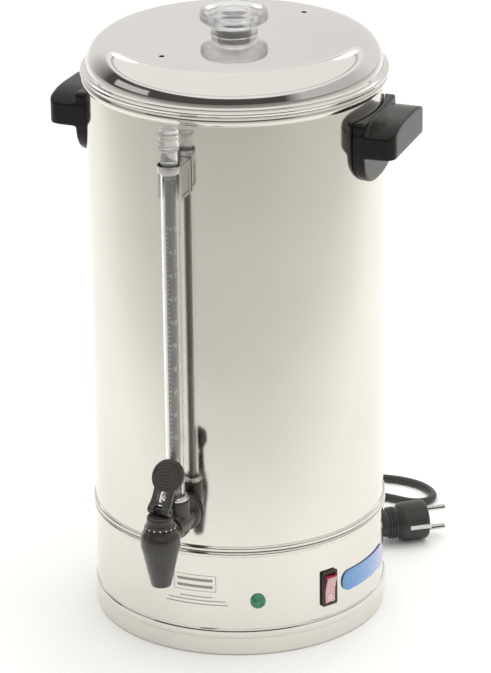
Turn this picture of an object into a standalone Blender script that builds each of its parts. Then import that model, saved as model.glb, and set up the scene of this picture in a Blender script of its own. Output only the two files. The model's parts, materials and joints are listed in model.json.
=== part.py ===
"""Electric coffee percolator urn: steel tank on a heated base, lift-off lid with a clear knob,
side handles, a sight gauge, a lever tap, a pump tube with its coffee basket, and a mains cord.

Sizes are in millimetres and are turned into metres where a mesh is made. +Z is up, the body's
axis is the Z axis, the base stands on Z = 0, and the tap and the gauge face -Y. Azimuths are in
degrees from the front, positive towards +X."""

import math

import bmesh
import bpy
from mathutils import Matrix, Vector

MM = 0.001
GAP = 0.3
BODY_R = 125.0
WALL = 1.5
INNER_R = BODY_R - WALL
BIG_SEGMENTS = 36
MEDIUM_SEGMENTS = 20
SMALL_SEGMENTS = 12

SEAM_Z = 96.0
COVER_SCREW_R = 113.0
COVER_SCREW_AZIMUTHS = (0, 120, 240)
FLOOR_Z = 105.0
RIM_Z = 481.5
LID_TOP_Z = 514.0
LID_CORNER_R = 24.0
KNOB_TOP_Z = 536.6
VENT_RADIUS = 84.0
VENT_AZIMUTH = -23.6

HANDLE_AZIMUTH = 91.5
HANDLE_HALF_WIDTH = 44.0
HANDLE_REACH = 153.5
HANDLE_PLATE_R = 127.5
HANDLE_CORNER_R = 9.0
HANDLE_LOW_Z = 430.0
HANDLE_SIDE_Z = 449.5
HANDLE_CREST_Z = 458.0
HANDLE_LIP_Z = 460.0
HANDLE_TIP_Z = 400.0
ARCH_POWER = 3.5
TONGUE_POWER = 2.4
HANDLE_SCREW_HEIGHTS = (437.0, 451.0)

GAUGE_R = 147.0
GAUGE_TUBE_R = 8.0
GAUGE_TOP_Z = 446.5
GAUGE_SCREW_Z = 431.0
TAP_R = 181.0
TAP_Z = 131.0
SPOUT_Z = 88.0
LEVER_PIVOT_Z = 155.5
LEVER_LEAN = -30.0
LEVER_TURN = -10.0
LEVER_LENGTH = 43.0
THUMB_R = 14.5

LAMP_AZIMUTH = 28.0
LAMP_Z = 50.3
SWITCH_AZIMUTH = 58.1
SWITCH_Z = 51.0
SWITCH_WIDTH = 16.0
SWITCH_HEIGHT = 32.0
ROCKER_TILT = 8.0
BADGE_START = 65.0
BADGE_END = 100.0

WELL_R = 15.9
STEM_R = 5.0
BASKET_Z = 326.6
BASKET_R = 71.5
BASKET_TOP_Z = 415.0

CORD_D = 7.0
GLAND_AZIMUTH = -158.6
GLAND_Z = 34.0
COIL_CENTRE = (-136.7, 243.4)
COIL_R = 5.5 * CORD_D
PLUG_REAR = Vector((75.6, 136.2, 18.0))
PLUG_DIRECTION = Vector((0.805, 0.594, 0.0)).normalized()
CORD_TO_COIL = [
    (-55, 141, 34), (-59, 152, 33.5), (-64, 164, 30), (-69, 177, 22), (-74, 191, 12.5),
    (-79, 204, 6), (-84, 216, 3.8), (-90, 229, 3.6),
]
CORD_TO_PLUG = [
    (-94, 219, 10.9), (-79, 225, 10.9), (-63, 231, 10), (-42, 239, 6.5), (-20, 248, 3.9),
    (4, 258, 3.6), (25, 266, 3.6), (43, 270, 3.6), (60, 270, 3.6), (77, 265.5, 3.6),
    (90, 256, 3.6), (96.5, 244, 3.6), (93, 232, 3.6), (81, 226.5, 3.6), (64, 228.5, 3.6),
    (46, 230, 3.6), (32, 226.2, 3.6), (21.8, 216, 3.6), (18, 202, 3.6), (20, 187, 3.6),
    (24, 172, 3.8), (28, 158.5, 5.2), (33, 147, 8), (41, 137.5, 11.5), (50, 131.5, 14.8),
    (59.5, 129.3, 17), (70, 132, 18), (75.6, 136.2, 18),
]


# ---------------------------------------------------------------- materials

def make_material(name, color, roughness, metallic=0.0, alpha=1.0):
    """A Principled material of one colour."""
    material = bpy.data.materials.new(name)
    material.use_nodes = True
    shader = material.node_tree.nodes["Principled BSDF"]
    shader.inputs["Base Color"].default_value = (*color, 1.0)
    shader.inputs["Roughness"].default_value = roughness
    shader.inputs["Metallic"].default_value = metallic
    shader.inputs["Alpha"].default_value = alpha
    return material


# ---------------------------------------------------------------- making meshes

def finish(name, bm, material, azimuth=0.0):
    """Turn a bmesh in millimetres into a named object, turned about Z to its azimuth."""
    bmesh.ops.recalc_face_normals(bm, faces=bm.faces)
    bm.transform(Matrix.Scale(MM, 4))
    mesh = bpy.data.meshes.new(name)
    bm.to_mesh(mesh)
    bm.free()
    mesh.shade_smooth()
    mesh.set_sharp_from_angle(angle=math.radians(35))
    mesh.materials.append(material)
    item = bpy.data.objects.new(name, mesh)
    item.rotation_euler.z = math.radians(azimuth)
    bpy.context.collection.objects.link(item)
    return item


def lathe(profile, segments, closed=True):
    """A turned solid about Z. The profile lists (radius, z); an open one ends on the axis twice."""
    bm = bmesh.new()
    rings = []
    for radius, z in profile:
        if radius < 1e-6:
            rings.append([bm.verts.new((0, 0, z))] * segments)
            continue
        angles = [2 * math.pi * i / segments for i in range(segments)]
        rings.append([bm.verts.new((radius * math.cos(a), radius * math.sin(a), z)) for a in angles])
    pairs = list(zip(rings, rings[1:]))
    if closed:
        pairs.append((rings[-1], rings[0]))
    for lower, upper in pairs:
        for i in range(segments):
            j = (i + 1) % segments
            corners = list(dict.fromkeys((lower[i], lower[j], upper[j], upper[i])))
            if len(corners) > 2:
                bm.faces.new(corners)
    return bm


def prism(outline, low, high, bevel=0.0, bevel_segments=2):
    """An outline of (x, y) points extruded along Z from low to high, with rounded edges."""
    bm = bmesh.new()
    face = bm.faces.new([bm.verts.new((x, y, low)) for x, y in outline])
    grown = bmesh.ops.extrude_face_region(bm, geom=[face])
    top = [v for v in grown["geom"] if isinstance(v, bmesh.types.BMVert)]
    bmesh.ops.translate(bm, verts=top, vec=(0, 0, high - low))
    if bevel:
        ends = [e for e in bm.edges if abs(e.verts[0].co.z - e.verts[1].co.z) < 1e-6]
        bmesh.ops.bevel(bm, geom=ends, offset=bevel, segments=bevel_segments, affect="EDGES")
    return bm


def face_front(bm, height=0.0):
    """Turn a shape made along +Z to point along -Y, with its axis at the given height."""
    bm.transform(Matrix.Rotation(math.radians(90), 4, "X"))
    bm.transform(Matrix.Translation((0, 0, height)))
    return bm


def moved(bm, x=0.0, y=0.0, z=0.0):
    """The same shape, shifted."""
    bm.transform(Matrix.Translation((x, y, z)))
    return bm


def box(low, high):
    """A box between two corners."""
    outline = [(low[0], low[1]), (high[0], low[1]), (high[0], high[1]), (low[0], high[1])]
    return prism(outline, low[2], high[2])


def joined(*shapes):
    """Several shapes as one mesh, for a cutter that makes several holes."""
    whole = bmesh.new()
    for shape in shapes:
        mesh = bpy.data.meshes.new("piece")
        shape.to_mesh(mesh)
        shape.free()
        whole.from_mesh(mesh)
        bpy.data.meshes.remove(mesh)
    return whole


def rounded_rectangle(width, height, radius, steps=4):
    """Outline points of a rectangle with rounded corners, centred on the origin."""
    points = []
    corners = ((1, 1, 0), (-1, 1, 90), (-1, -1, 180), (1, -1, 270))
    for sign_x, sign_y, start in corners:
        centre_x = sign_x * (width / 2 - radius)
        centre_y = sign_y * (height / 2 - radius)
        for step in range(steps + 1):
            angle = math.radians(start + 90 * step / steps)
            points.append((centre_x + radius * math.cos(angle), centre_y + radius * math.sin(angle)))
    return points


def bead(radius, z_low, z_high, proud):
    """Profile points, going up, of a rolled bead standing out of a wall."""
    middle = (z_low + z_high) / 2
    half = (z_high - z_low) / 2
    points = []
    for step in range(4):
        angle = math.radians(-90 + 60 * step)
        points.append((radius + proud * math.cos(angle), middle + half * math.sin(angle)))
    return points


def combine(item, other_bm, operation):
    """Cut other_bm out of the item or join it on, with a Boolean modifier."""
    tool = finish(f"{item.name}_{operation.lower()}_{len(item.modifiers)}", other_bm,
                  item.data.materials[0])
    tool.rotation_euler = item.rotation_euler
    tool.location = item.location
    tool.hide_render = True
    tool.display_type = "WIRE"
    modifier = item.modifiers.new(operation.title(), "BOOLEAN")
    modifier.operation = operation
    modifier.solver = "EXACT"
    modifier.object = tool
    return item


def cut(item, other_bm):
    return combine(item, other_bm, "DIFFERENCE")


def join(item, other_bm):
    return combine(item, other_bm, "UNION")


def tube(name, points, radius, material, resolution=2, samples=3, smooth=True):
    """A round wire or cord along a smooth curve through the points."""
    spine = smooth_path(points, samples) if smooth else [Vector(p) for p in points]
    curve = bpy.data.curves.new(name, "CURVE")
    curve.dimensions = "3D"
    curve.bevel_depth = radius * MM
    curve.bevel_resolution = resolution
    curve.use_fill_caps = True
    spline = curve.splines.new("POLY")
    spline.points.add(len(spine) - 1)
    for target, point in zip(spline.points, spine):
        target.co = (*(point * MM), 1.0)
    curve.materials.append(material)
    item = bpy.data.objects.new(name, curve)
    bpy.context.collection.objects.link(item)
    return item


def smooth_path(points, samples):
    """Points read from a Catmull-Rom curve through the given ones."""
    knots = [Vector(p) for p in points]
    knots = [2 * knots[0] - knots[1]] + knots + [2 * knots[-1] - knots[-2]]
    path = []
    for before, start, end, after in zip(knots, knots[1:], knots[2:], knots[3:]):
        for step in range(samples):
            t = step / samples
            path.append(0.5 * (2 * start + (end - before) * t
                               + (2 * before - 5 * start + 4 * end - after) * t ** 2
                               + (3 * start - before - 3 * end + after) * t ** 3))
    path.append(knots[-2])
    return path


def direction(azimuth):
    """The outward direction at an azimuth."""
    angle = math.radians(azimuth)
    return Vector((math.sin(angle), -math.cos(angle), 0.0))


# ---------------------------------------------------------------- the body

def make_base_shell(steel):
    """The lower skirt: holds the electrics, with a foot bead, a seam bead and an inner lip."""
    profile = [(BODY_R, 0)]
    profile += bead(BODY_R, 15.6, 24.6, 1.9)
    profile += bead(BODY_R, 91.0, SEAM_Z - 0.2, 1.8)
    profile += [(INNER_R, SEAM_Z - 0.2), (INNER_R, 6.5), (106, 6.5), (106, 5), (INNER_R, 5), (INNER_R, 0)]
    shell = finish("base_shell", lathe(profile, BIG_SEGMENTS), steel)
    lamp_hole = face_front(lathe_cylinder(5.2, 115, 130), LAMP_Z)
    lamp_hole.transform(Matrix.Rotation(math.radians(LAMP_AZIMUTH), 4, "Z"))
    switch_hole = face_front(prism(rounded_rectangle(13.2, 29.4, 1.0, 2), 115, 130), SWITCH_Z)
    switch_hole.transform(Matrix.Rotation(math.radians(SWITCH_AZIMUTH), 4, "Z"))
    gland_hole = face_front(lathe_cylinder(6.4, 115, 130), GLAND_Z)
    gland_hole.transform(Matrix.Rotation(math.radians(GLAND_AZIMUTH), 4, "Z"))
    screw_holes = [moved(lathe_cylinder(2.2, 3, 9), *(direction(a) * COVER_SCREW_R).xy)
                   for a in COVER_SCREW_AZIMUTHS]
    cut(shell, joined(lamp_hole, switch_hole, gland_hole, *screw_holes))
    return shell


def lathe_cylinder(radius, low, high, segments=SMALL_SEGMENTS):
    """A plain upright cylinder."""
    return lathe([(0, low), (radius, low), (radius, high), (0, high)], segments, closed=False)


def make_bottom_cover(steel):
    """Pressed plate under the base, with a flat stand face, vent slots and screw holes."""
    profile = [(0, 0), (58, 0), (62, 3.2), (INNER_R - 0.6, 3.2), (INNER_R - 0.6, 4.7), (61, 4.7),
               (57, 1.5), (0, 1.5)]
    cover = finish("bottom_cover", lathe(profile, BIG_SEGMENTS, closed=False), steel)
    holes = [moved(lathe_cylinder(2.2, 1, 8), *(direction(a) * COVER_SCREW_R).xy)
             for a in COVER_SCREW_AZIMUTHS]
    for index in range(8):
        slot = prism(rounded_rectangle(5, 22, 2.4, 1), 1, 8)
        slot = moved(slot, y=-88)
        slot.transform(Matrix.Rotation(math.radians(45 * index + 15), 4, "Z"))
        holes.append(slot)
    cut(cover, joined(*holes))
    return cover


def screw_shape(head_r, head_h, shank_r, length):
    """A pan-head screw along Z, its head's underside at zero and its shank going up."""
    profile = [(0, -head_h), (head_r * 0.7, -head_h), (head_r, -head_h * 0.4), (head_r, 0),
               (shank_r, 0), (shank_r, length), (0, length)]
    return lathe(profile, 8, closed=False)


def make_cover_screws(metal):
    """The screws that hold the bottom cover to the base shell's lip."""
    for index, azimuth in enumerate(COVER_SCREW_AZIMUTHS):
        shape = screw_shape(4.2, 2.2, 1.8, 7)
        centre = direction(azimuth) * COVER_SCREW_R
        finish(f"cover_screw_{index + 1}", moved(shape, centre.x, centre.y, 2.9), metal)


def make_tank(steel):
    """The tank: wall with a rolled rim, seam bead below, and a flat floor with the well's hole."""
    profile = bead(BODY_R, SEAM_Z + 0.1, 101.0, 1.8)
    profile += [(BODY_R, 472.8), (127.3, 474.7), (128.3, 477), (128.1, 479.6), (126.6, RIM_Z),
                (124.4, RIM_Z), (INNER_R, 480.2)]
    profile += [(INNER_R, 114), (120.5, 107.5), (114, FLOOR_Z), (WELL_R + 0.4, FLOOR_Z),
                (WELL_R + 0.4, FLOOR_Z - WALL), (114, FLOOR_Z - WALL), (INNER_R, 106),
                (INNER_R, SEAM_Z + 0.1)]
    tank = finish("tank_shell", lathe(profile, BIG_SEGMENTS), steel)
    tap_hole = face_front(lathe_cylinder(10.4, 115, 130), TAP_Z)
    screw_holes = []
    for side in (-HANDLE_AZIMUTH, HANDLE_AZIMUTH):
        for height in HANDLE_SCREW_HEIGHTS:
            hole = face_front(lathe_cylinder(2.6, 115, 130, 12), height)
            hole.transform(Matrix.Rotation(math.radians(side), 4, "Z"))
            screw_holes.append(hole)
    clip_hole = face_front(lathe_cylinder(2.2, 115, 130, 12), GAUGE_SCREW_Z)
    cut(tank, joined(tap_hole, clip_hole, *screw_holes))
    return tank


def make_heater(steel, brass, rubber, mica, dark):
    """The heated well in the tank floor with its nut and seal, both elements and the controls."""
    flange_z = FLOOR_Z + 1.2
    well = [(0, 82.5), (WELL_R, 82.5), (WELL_R, flange_z), (24, flange_z), (24, flange_z + 1.2),
            (WELL_R - WALL, flange_z + 1.2), (WELL_R - WALL, 84), (0, 84)]
    finish("heater_well", lathe(well, MEDIUM_SEGMENTS, closed=False), steel)
    seal = [(WELL_R + 0.4, FLOOR_Z + 0.2), (23.5, FLOOR_Z + 0.2), (23.5, flange_z - 0.2),
            (WELL_R + 0.4, flange_z - 0.2)]
    finish("well_seal", lathe(seal, MEDIUM_SEGMENTS), rubber)
    nut = finish("well_nut", lathe([(0, 96.5), (25, 96.5), (25, 103.2), (0, 103.2)], 6, closed=False), brass)
    cut(nut, lathe_cylinder(WELL_R + 0.3, 90, 110, MEDIUM_SEGMENTS))

    ring_r = 38.0
    loop = [(ring_r, -10, 78), (ring_r, -10, 90)]
    for step in range(15):
        angle = math.radians(-18 - 324 * step / 14)
        loop.append((ring_r * math.cos(angle), ring_r * math.sin(angle), 99.4))
    loop += [(ring_r, 10, 90), (ring_r, 10, 78)]
    tube("brew_element", loop, 3.4, steel, samples=1)
    warm = [(52, 99.6), (70, 99.6), (70, 103.2), (52, 103.2)]
    finish("keep_warm_element", lathe(warm, MEDIUM_SEGMENTS), mica)
    for name, azimuth in (("brew_thermostat", 60), ("thermal_cutout", -60)):
        centre = direction(azimuth) * 88
        can = lathe([(0, 92), (3.5, 92), (3.5, 95), (8, 95), (8, 103.2), (0, 103.2)], SMALL_SEGMENTS,
                    closed=False)
        finish(name, moved(can, centre.x, centre.y), dark)


def make_wiring(dark, wire):
    """Terminal block on the bottom cover, and its leads to the switch and the pilot lamp."""
    finish("terminal_block", box((-62, 40, 5.0), (-30, 58, 20)), dark)
    tube("switch_lead", [(-36, 38.5, 14), (-20, 10, 14), (20, -25, 22), (62, -44, 45), (78, -50, 51)],
         1.4, wire, resolution=1, samples=2)
    tube("lamp_lead", [(-46, 38.5, 14), (-36, 0, 12), (-10, -50, 20), (28, -78, 44), (44, -84, 50.3)],
         1.2, wire, resolution=1, samples=2)


# ---------------------------------------------------------------- lid and knob

def make_lid(steel, clear, rubber):
    """The lid shell with two steam vents, the clear knob and the ring that holds it."""
    centre_r = BODY_R - 0.5 - LID_CORNER_R
    centre_z = LID_TOP_Z - 1.5 - LID_CORNER_R
    corner = [(centre_r + LID_CORNER_R * math.cos(a), centre_z + LID_CORNER_R * math.sin(a))
              for a in (math.radians(90 - 22.5 * k) for k in range(5))]
    inner_r = LID_CORNER_R - WALL
    inner = [(centre_r + inner_r * math.cos(a), centre_z + inner_r * math.sin(a))
             for a in (math.radians(45 * k) for k in range(3))]
    profile = [(17.5, LID_TOP_Z)] + corner
    profile += [(127, 487.9), (126.6, 486.4), (128.8, 485.9), (129.5, 484.2), (128.6, 482.2)]
    profile += [(126.5, RIM_Z + 0.3), (123.0, RIM_Z + 0.3), (123.0, 470), (121.6, 470)]
    profile += [(121.6, 484)] + inner + [(17.5, LID_TOP_Z - WALL)]
    lid = finish("lid_shell", lathe(profile, BIG_SEGMENTS), steel)
    vents = []
    for azimuth in (VENT_AZIMUTH, VENT_AZIMUTH + 180):
        centre = direction(azimuth) * VENT_RADIUS
        vents.append(moved(lathe_cylinder(2.5, 500, 520, 12), centre.x, centre.y))
    cut(lid, joined(*vents))

    knob = [(0, 532.0), (9, 531.2), (14.5, 527), (14.5, 503), (17.1, 503), (17.1, LID_TOP_Z + GAP),
            (19.6, LID_TOP_Z + GAP), (19.2, 519), (20.5, 522), (26.5, 524.2), (28.4, 526.2),
            (28.6, 531.5), (27.6, 534.2), (24.5, 535.5), (0, KNOB_TOP_Z)]
    finish("lid_knob", lathe(knob, MEDIUM_SEGMENTS, closed=False), clear)
    ring = [(17.45, 508.5), (24, 508.5), (24, 511.6), (17.45, 511.6)]
    finish("knob_ring", lathe(ring, MEDIUM_SEGMENTS), rubber)


# ---------------------------------------------------------------- handles

def grip_front():
    """Front view of the grip: a flat underside, straight ends and a low arch on top."""
    half = HANDLE_HALF_WIDTH
    points = [(-half, HANDLE_LOW_Z), (half, HANDLE_LOW_Z)]
    for step in range(13):
        across = math.cos(math.pi * step / 12)
        rise = (HANDLE_CREST_Z - HANDLE_SIDE_Z) * (1 - abs(across) ** ARCH_POWER)
        points.append((half * across, HANDLE_SIDE_Z + rise))
    return points


def plate_front():
    """Front view of the plate against the tank: a straight top and a half-ellipse below."""
    half = HANDLE_HALF_WIDTH - 0.6
    points = [(half, HANDLE_LIP_Z - 2), (half - 2, HANDLE_LIP_Z), (2 - half, HANDLE_LIP_Z),
              (-half, HANDLE_LIP_Z - 2)]
    for step in range(15):
        across = math.cos(math.pi + math.pi * step / 14)
        drop = (1 - abs(across) ** TONGUE_POWER) ** (1 / TONGUE_POWER)
        points.append((half * across, HANDLE_LOW_Z - (HANDLE_LOW_Z - HANDLE_TIP_Z) * drop))
    return points


def make_handle(name, side, bakelite):
    """One handle: an arched grip on a thin plate that runs from under the rim down the tank."""
    half = HANDLE_HALF_WIDTH
    outline = [(-half, -108), (half, -108)]
    for sign, angles in ((1, (0, 30, 60, 90)), (-1, (90, 120, 150, 180))):
        for degrees in angles:
            angle = math.radians(degrees)
            outline.append((sign * (half - HANDLE_CORNER_R) + HANDLE_CORNER_R * math.cos(angle),
                            HANDLE_CORNER_R - HANDLE_REACH - HANDLE_CORNER_R * math.sin(angle)))
    handle = finish(name, prism(outline, HANDLE_LOW_Z, HANDLE_LIP_Z), bakelite, side)
    combine(handle, face_front(prism(grip_front(), 100, HANDLE_REACH + 5)), "INTERSECT")
    join(handle, face_front(prism(plate_front(), 104, HANDLE_PLATE_R)))
    cut(handle, lathe_cylinder(BODY_R + 0.4, 380, 475, 2 * BIG_SEGMENTS))
    for height in HANDLE_SCREW_HEIGHTS:
        cut(handle, face_front(lathe_cylinder(2.4, 120, 134, 12), height))
    return handle


def make_handle_screws(metal):
    """The screws that hold the handles, with their heads inside the tank."""
    for side_name, side in (("left", -HANDLE_AZIMUTH), ("right", HANDLE_AZIMUTH)):
        for index, height in enumerate(HANDLE_SCREW_HEIGHTS):
            shape = moved(screw_shape(4.6, 2.6, 2.0, 11), z=INNER_R - 0.8)
            finish(f"handle_screw_{side_name}_{index + 1}", face_front(shape, height), metal, side)


# ---------------------------------------------------------------- gauge and tap

def make_gauge(glass, clear, chrome, rubber, metal):
    """The sight gauge: glass tube, seal and ferrule at its foot, vented plug and clip on top."""
    tube_low = 140.5
    glass_profile = [(GAUGE_TUBE_R - 2, tube_low), (GAUGE_TUBE_R, tube_low),
                     (GAUGE_TUBE_R, GAUGE_TOP_Z), (GAUGE_TUBE_R - 2, GAUGE_TOP_Z)]
    finish("gauge_tube", moved(lathe(glass_profile, 16), y=-GAUGE_R), glass)
    seal = [(GAUGE_TUBE_R + 0.3, 141.5), (9.3, 141.5), (9.3, 151.5), (GAUGE_TUBE_R + 0.3, 151.5)]
    finish("gauge_seal", moved(lathe(seal, 16), y=-GAUGE_R), rubber)
    ferrule = [(GAUGE_TUBE_R + 0.4, 152.4), (11.4, 152.4), (11.4, 154.6), (10.4, 155.4),
               (GAUGE_TUBE_R + 0.4, 155.4)]
    finish("gauge_ferrule", moved(lathe(ferrule, 16), y=-GAUGE_R), chrome)
    cap = [(0, 436), (5.6, 436), (5.6, GAUGE_TOP_Z + 0.4), (7.2, GAUGE_TOP_Z + 0.4), (7.0, 458.4),
           (8.6, 459), (8.7, 474.6), (7.4, 476.6), (0, 477)]
    finish("gauge_plug", moved(lathe(cap, 16, closed=False), y=-GAUGE_R), clear)

    low = 416.0
    high = 446.0
    half = GAUGE_TUBE_R + 2.2
    bracket = box((-half, -GAUGE_R, low), (half, -BODY_R - 0.5, high))
    clip = finish("gauge_clip", bracket, chrome)
    join(clip, moved(lathe_cylinder(half, high - 6, high, 24), y=-GAUGE_R))
    cut(clip, box((-GAUGE_TUBE_R - 0.9, -GAUGE_R - 20, low - 5),
                  (GAUGE_TUBE_R + 0.9, -BODY_R - 2.2, high - 6)))
    cut(clip, joined(moved(lathe_cylinder(GAUGE_TUBE_R + 0.5, low - 5, high + 5, 24), y=-GAUGE_R),
                     face_front(lathe_cylinder(2.2, 115, 135, 12), GAUGE_SCREW_Z)))
    shape = screw_shape(4.0, 2.2, 1.8, 8)
    shape.transform(Matrix.Rotation(math.radians(180), 4, "X"))
    finish("gauge_clip_screw", face_front(moved(shape, z=BODY_R + 2.5), GAUGE_SCREW_Z), metal)


def make_tap(black, rubber, metal, silicone):
    """The tap from the tank's wall outwards: shank, nut, washers, body, valve, bonnet and lever."""
    thread_r = 9.9
    shank_profile = [(0, 104), (thread_r, 104), (thread_r, BODY_R + 3.4), (15, BODY_R + 3.4),
                     (15, BODY_R + 7.5), (12.5, BODY_R + 9), (12.5, 163.8), (6.9, 163.8), (6.9, 169.8),
                     (0, 169.8)]
    shank = finish("tap_shank", face_front(lathe(shank_profile, 20, closed=False), TAP_Z), black)
    join(shank, moved(lathe([(0, TAP_Z - 13), (9, TAP_Z - 13), (12, TAP_Z - 8), (12, 152), (0, 152)],
                            24, closed=False), y=-GAUGE_R))
    cut(shank, joined(face_front(lathe_cylinder(5.2, 95, 180), TAP_Z)))
    cut(shank, moved(lathe([(0, TAP_Z), (4, TAP_Z), (4, 140.2), (9.6, 140.2), (9.6, 160), (0, 160)],
                           20, closed=False), y=-GAUGE_R))
    nut = finish("tap_nut", face_front(lathe([(0, 113.5), (16, 113.5), (16, 120.4), (0, 120.4)], 6,
                                             closed=False), TAP_Z), metal)
    cut(nut, face_front(lathe_cylinder(thread_r + 0.4, 105, 130, 24), TAP_Z))
    for name, low, high in (("tap_inner_washer", 120.7, 122.2), ("tap_outer_washer", 125.4, 128.1)):
        washer = [(thread_r + 0.4, low), (14.6, low), (14.6, high), (thread_r + 0.4, high)]
        finish(name, face_front(lathe(washer, 16), TAP_Z), rubber)

    outer = [(6.6, SPOUT_Z), (8.5, SPOUT_Z), (15.6, 121), (16.5, 126), (16.5, 132), (14, 136.5),
             (13.4, 139.8), (10.8, 139.8), (10.8, 108), (6.6, 106)]
    body = finish("tap_body", moved(lathe(outer, 20), y=-TAP_R), black)
    boss = lathe_cylinder(12, TAP_R - 16.8, TAP_R - 13.2, 20)
    join(body, face_front(boss, TAP_Z - 2))
    cut(body, face_front(lathe_cylinder(7.3, 150, TAP_R - 9, 20), TAP_Z))
    bonnet = [(3.7, 134), (10.4, 134), (10.4, 140.1), (12.9, 140.1), (13.1, 148.6), (11.5, 151), (3.7, 151)]
    finish("tap_bonnet", moved(lathe(bonnet, 18), y=-TAP_R), black)

    cup = [(0, 106.6), (5.9, 106.6), (9.4, 110), (9.4, 115.4), (6.4, 116), (3.4, 116), (3.4, 111.6),
           (0, 111.6)]
    finish("tap_seat_cup", moved(lathe(cup, 20, closed=False), y=-TAP_R), silicone)
    stem = finish("tap_stem", moved(lathe_cylinder(3.0, 112, LEVER_PIVOT_Z, 16), y=-TAP_R), metal)
    eye = prism([(3.2 * math.cos(math.radians(30 * k)), 3.2 * math.sin(math.radians(30 * k)))
                 for k in range(12)], -3.2, 3.2)
    turn = Matrix.Rotation(math.radians(LEVER_TURN), 4, "Z")
    eye.transform(turn @ Matrix.Rotation(math.radians(90), 4, "Y"))
    join(stem, moved(eye, y=-TAP_R, z=LEVER_PIVOT_Z))
    pin_hole = lathe_cylinder(1.6, -15, 15, 12)
    pin_hole.transform(turn @ Matrix.Rotation(math.radians(90), 4, "Y"))
    cut(stem, moved(pin_hole, y=-TAP_R, z=LEVER_PIVOT_Z))
    coil = []
    for step in range(31):
        angle = 2 * math.pi * step / 8
        coil.append((5.4 * math.cos(angle), 5.4 * math.sin(angle) - TAP_R, 117.2 + 15.6 * step / 30))
    tube("tap_spring", coil, 0.6, metal, resolution=1, smooth=False)


def make_lever(black, metal):
    """The lever: ribbed round thumb pad on a windowed arm, forked over the valve stem."""
    disc_z = LEVER_LENGTH - THUMB_R
    outline = [(-10, -3), (10, -3), (10, 3), (9, 10), (9.5, disc_z - 10.5)]
    for step in range(15):
        angle = math.radians(-45 + 270 * step / 14)
        outline.append((THUMB_R * math.cos(angle), disc_z + THUMB_R * math.sin(angle)))
    outline += [(-9.5, disc_z - 10.5), (-9, 10), (-10, 3)]
    plate = face_front(prism(outline, -2, 3, bevel=0.7, bevel_segments=1))
    lever = finish("tap_lever", plate, black)
    lever.location = Vector((0, -TAP_R, LEVER_PIVOT_Z)) * MM
    lever.rotation_euler = (math.radians(LEVER_LEAN), 0, math.radians(LEVER_TURN))
    base = face_front(prism([(-10, -2.6), (10, -2.6), (10, 3.4), (-10, 3.4)], -3.4, 3.6, bevel=0.8,
                            bevel_segments=1))
    join(lever, base)
    fork = face_front(prism([(-3.7, -8), (3.7, -8), (3.7, 4.2), (-3.7, 4.2)], -8, 8))
    window = face_front(prism([(-4, 6.2), (4, 6.2), (4, disc_z - 13), (-4, disc_z - 13)], -8, 8))
    cut(lever, joined(fork, window))
    bore = lathe_cylinder(1.6, -15, 15, 12)
    bore.transform(Matrix.Rotation(math.radians(90), 4, "Y"))
    cut(lever, bore)
    pin = lathe_cylinder(1.25, -9.5, 9.5, 12)
    pin.transform(Matrix.Rotation(math.radians(90), 4, "Y"))
    pivot = finish("tap_pin", pin, metal)
    pivot.location = lever.location
    pivot.rotation_euler.z = math.radians(LEVER_TURN)


# ---------------------------------------------------------------- pump and basket

def make_pump(steel, silicone):
    """The pump tube with its bell foot, the loose valve washer, the basket and the spreader."""
    stem = [(3.8, 93), (3.8, 468), (STEM_R, 468), (STEM_R, BASKET_Z - 0.4), (8, BASKET_Z - 0.4),
            (8, BASKET_Z - 4), (STEM_R, BASKET_Z - 6), (STEM_R, 97), (13, 91.5), (13, 84.3), (11.6, 84.3),
            (11.6, 90)]
    finish("pump_stem", lathe(stem, 16), steel)
    washer = [(4.4, 84.4), (10.8, 84.4), (10.8, 85.6), (4.4, 85.6)]
    finish("pump_washer", lathe(washer, 16), silicone)

    sleeve_r = STEM_R + 0.6
    basket = [(sleeve_r, BASKET_Z), (BASKET_R, BASKET_Z), (BASKET_R, BASKET_TOP_Z - 2),
              (BASKET_R + 2, BASKET_TOP_Z), (BASKET_R - WALL, BASKET_TOP_Z),
              (BASKET_R - WALL, BASKET_Z + WALL), (sleeve_r + 1.4, BASKET_Z + WALL),
              (sleeve_r + 1.4, BASKET_TOP_Z + 6), (sleeve_r, BASKET_TOP_Z + 6)]
    holder = finish("coffee_basket", lathe(basket, 24), steel)
    cut(holder, perforations(BASKET_Z - 5, BASKET_Z + 5, ((28, 6), (46, 8), (61, 10)), 3.2))
    plate = [(sleeve_r + 1.8, BASKET_TOP_Z + 0.4), (BASKET_R + 1.5, BASKET_TOP_Z + 0.4),
             (BASKET_R + 1.5, BASKET_TOP_Z + 1.9), (sleeve_r + 1.8, BASKET_TOP_Z + 1.9)]
    spreader = finish("water_spreader", lathe(plate, 24), steel)
    cut(spreader, perforations(BASKET_TOP_Z - 5, BASKET_TOP_Z + 5, ((28, 6), (54, 10)), 3.2))


def perforations(low, high, rings, radius):
    """Rings of small round holes: each ring is (ring radius, number of holes)."""
    holes = []
    for ring_r, count in rings:
        for index in range(count):
            centre = direction(360 * index / count) * ring_r
            holes.append(moved(lathe_cylinder(radius, low, high, 4), centre.x, centre.y))
    return joined(*holes)


# ---------------------------------------------------------------- lamp, switch, badge

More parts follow.
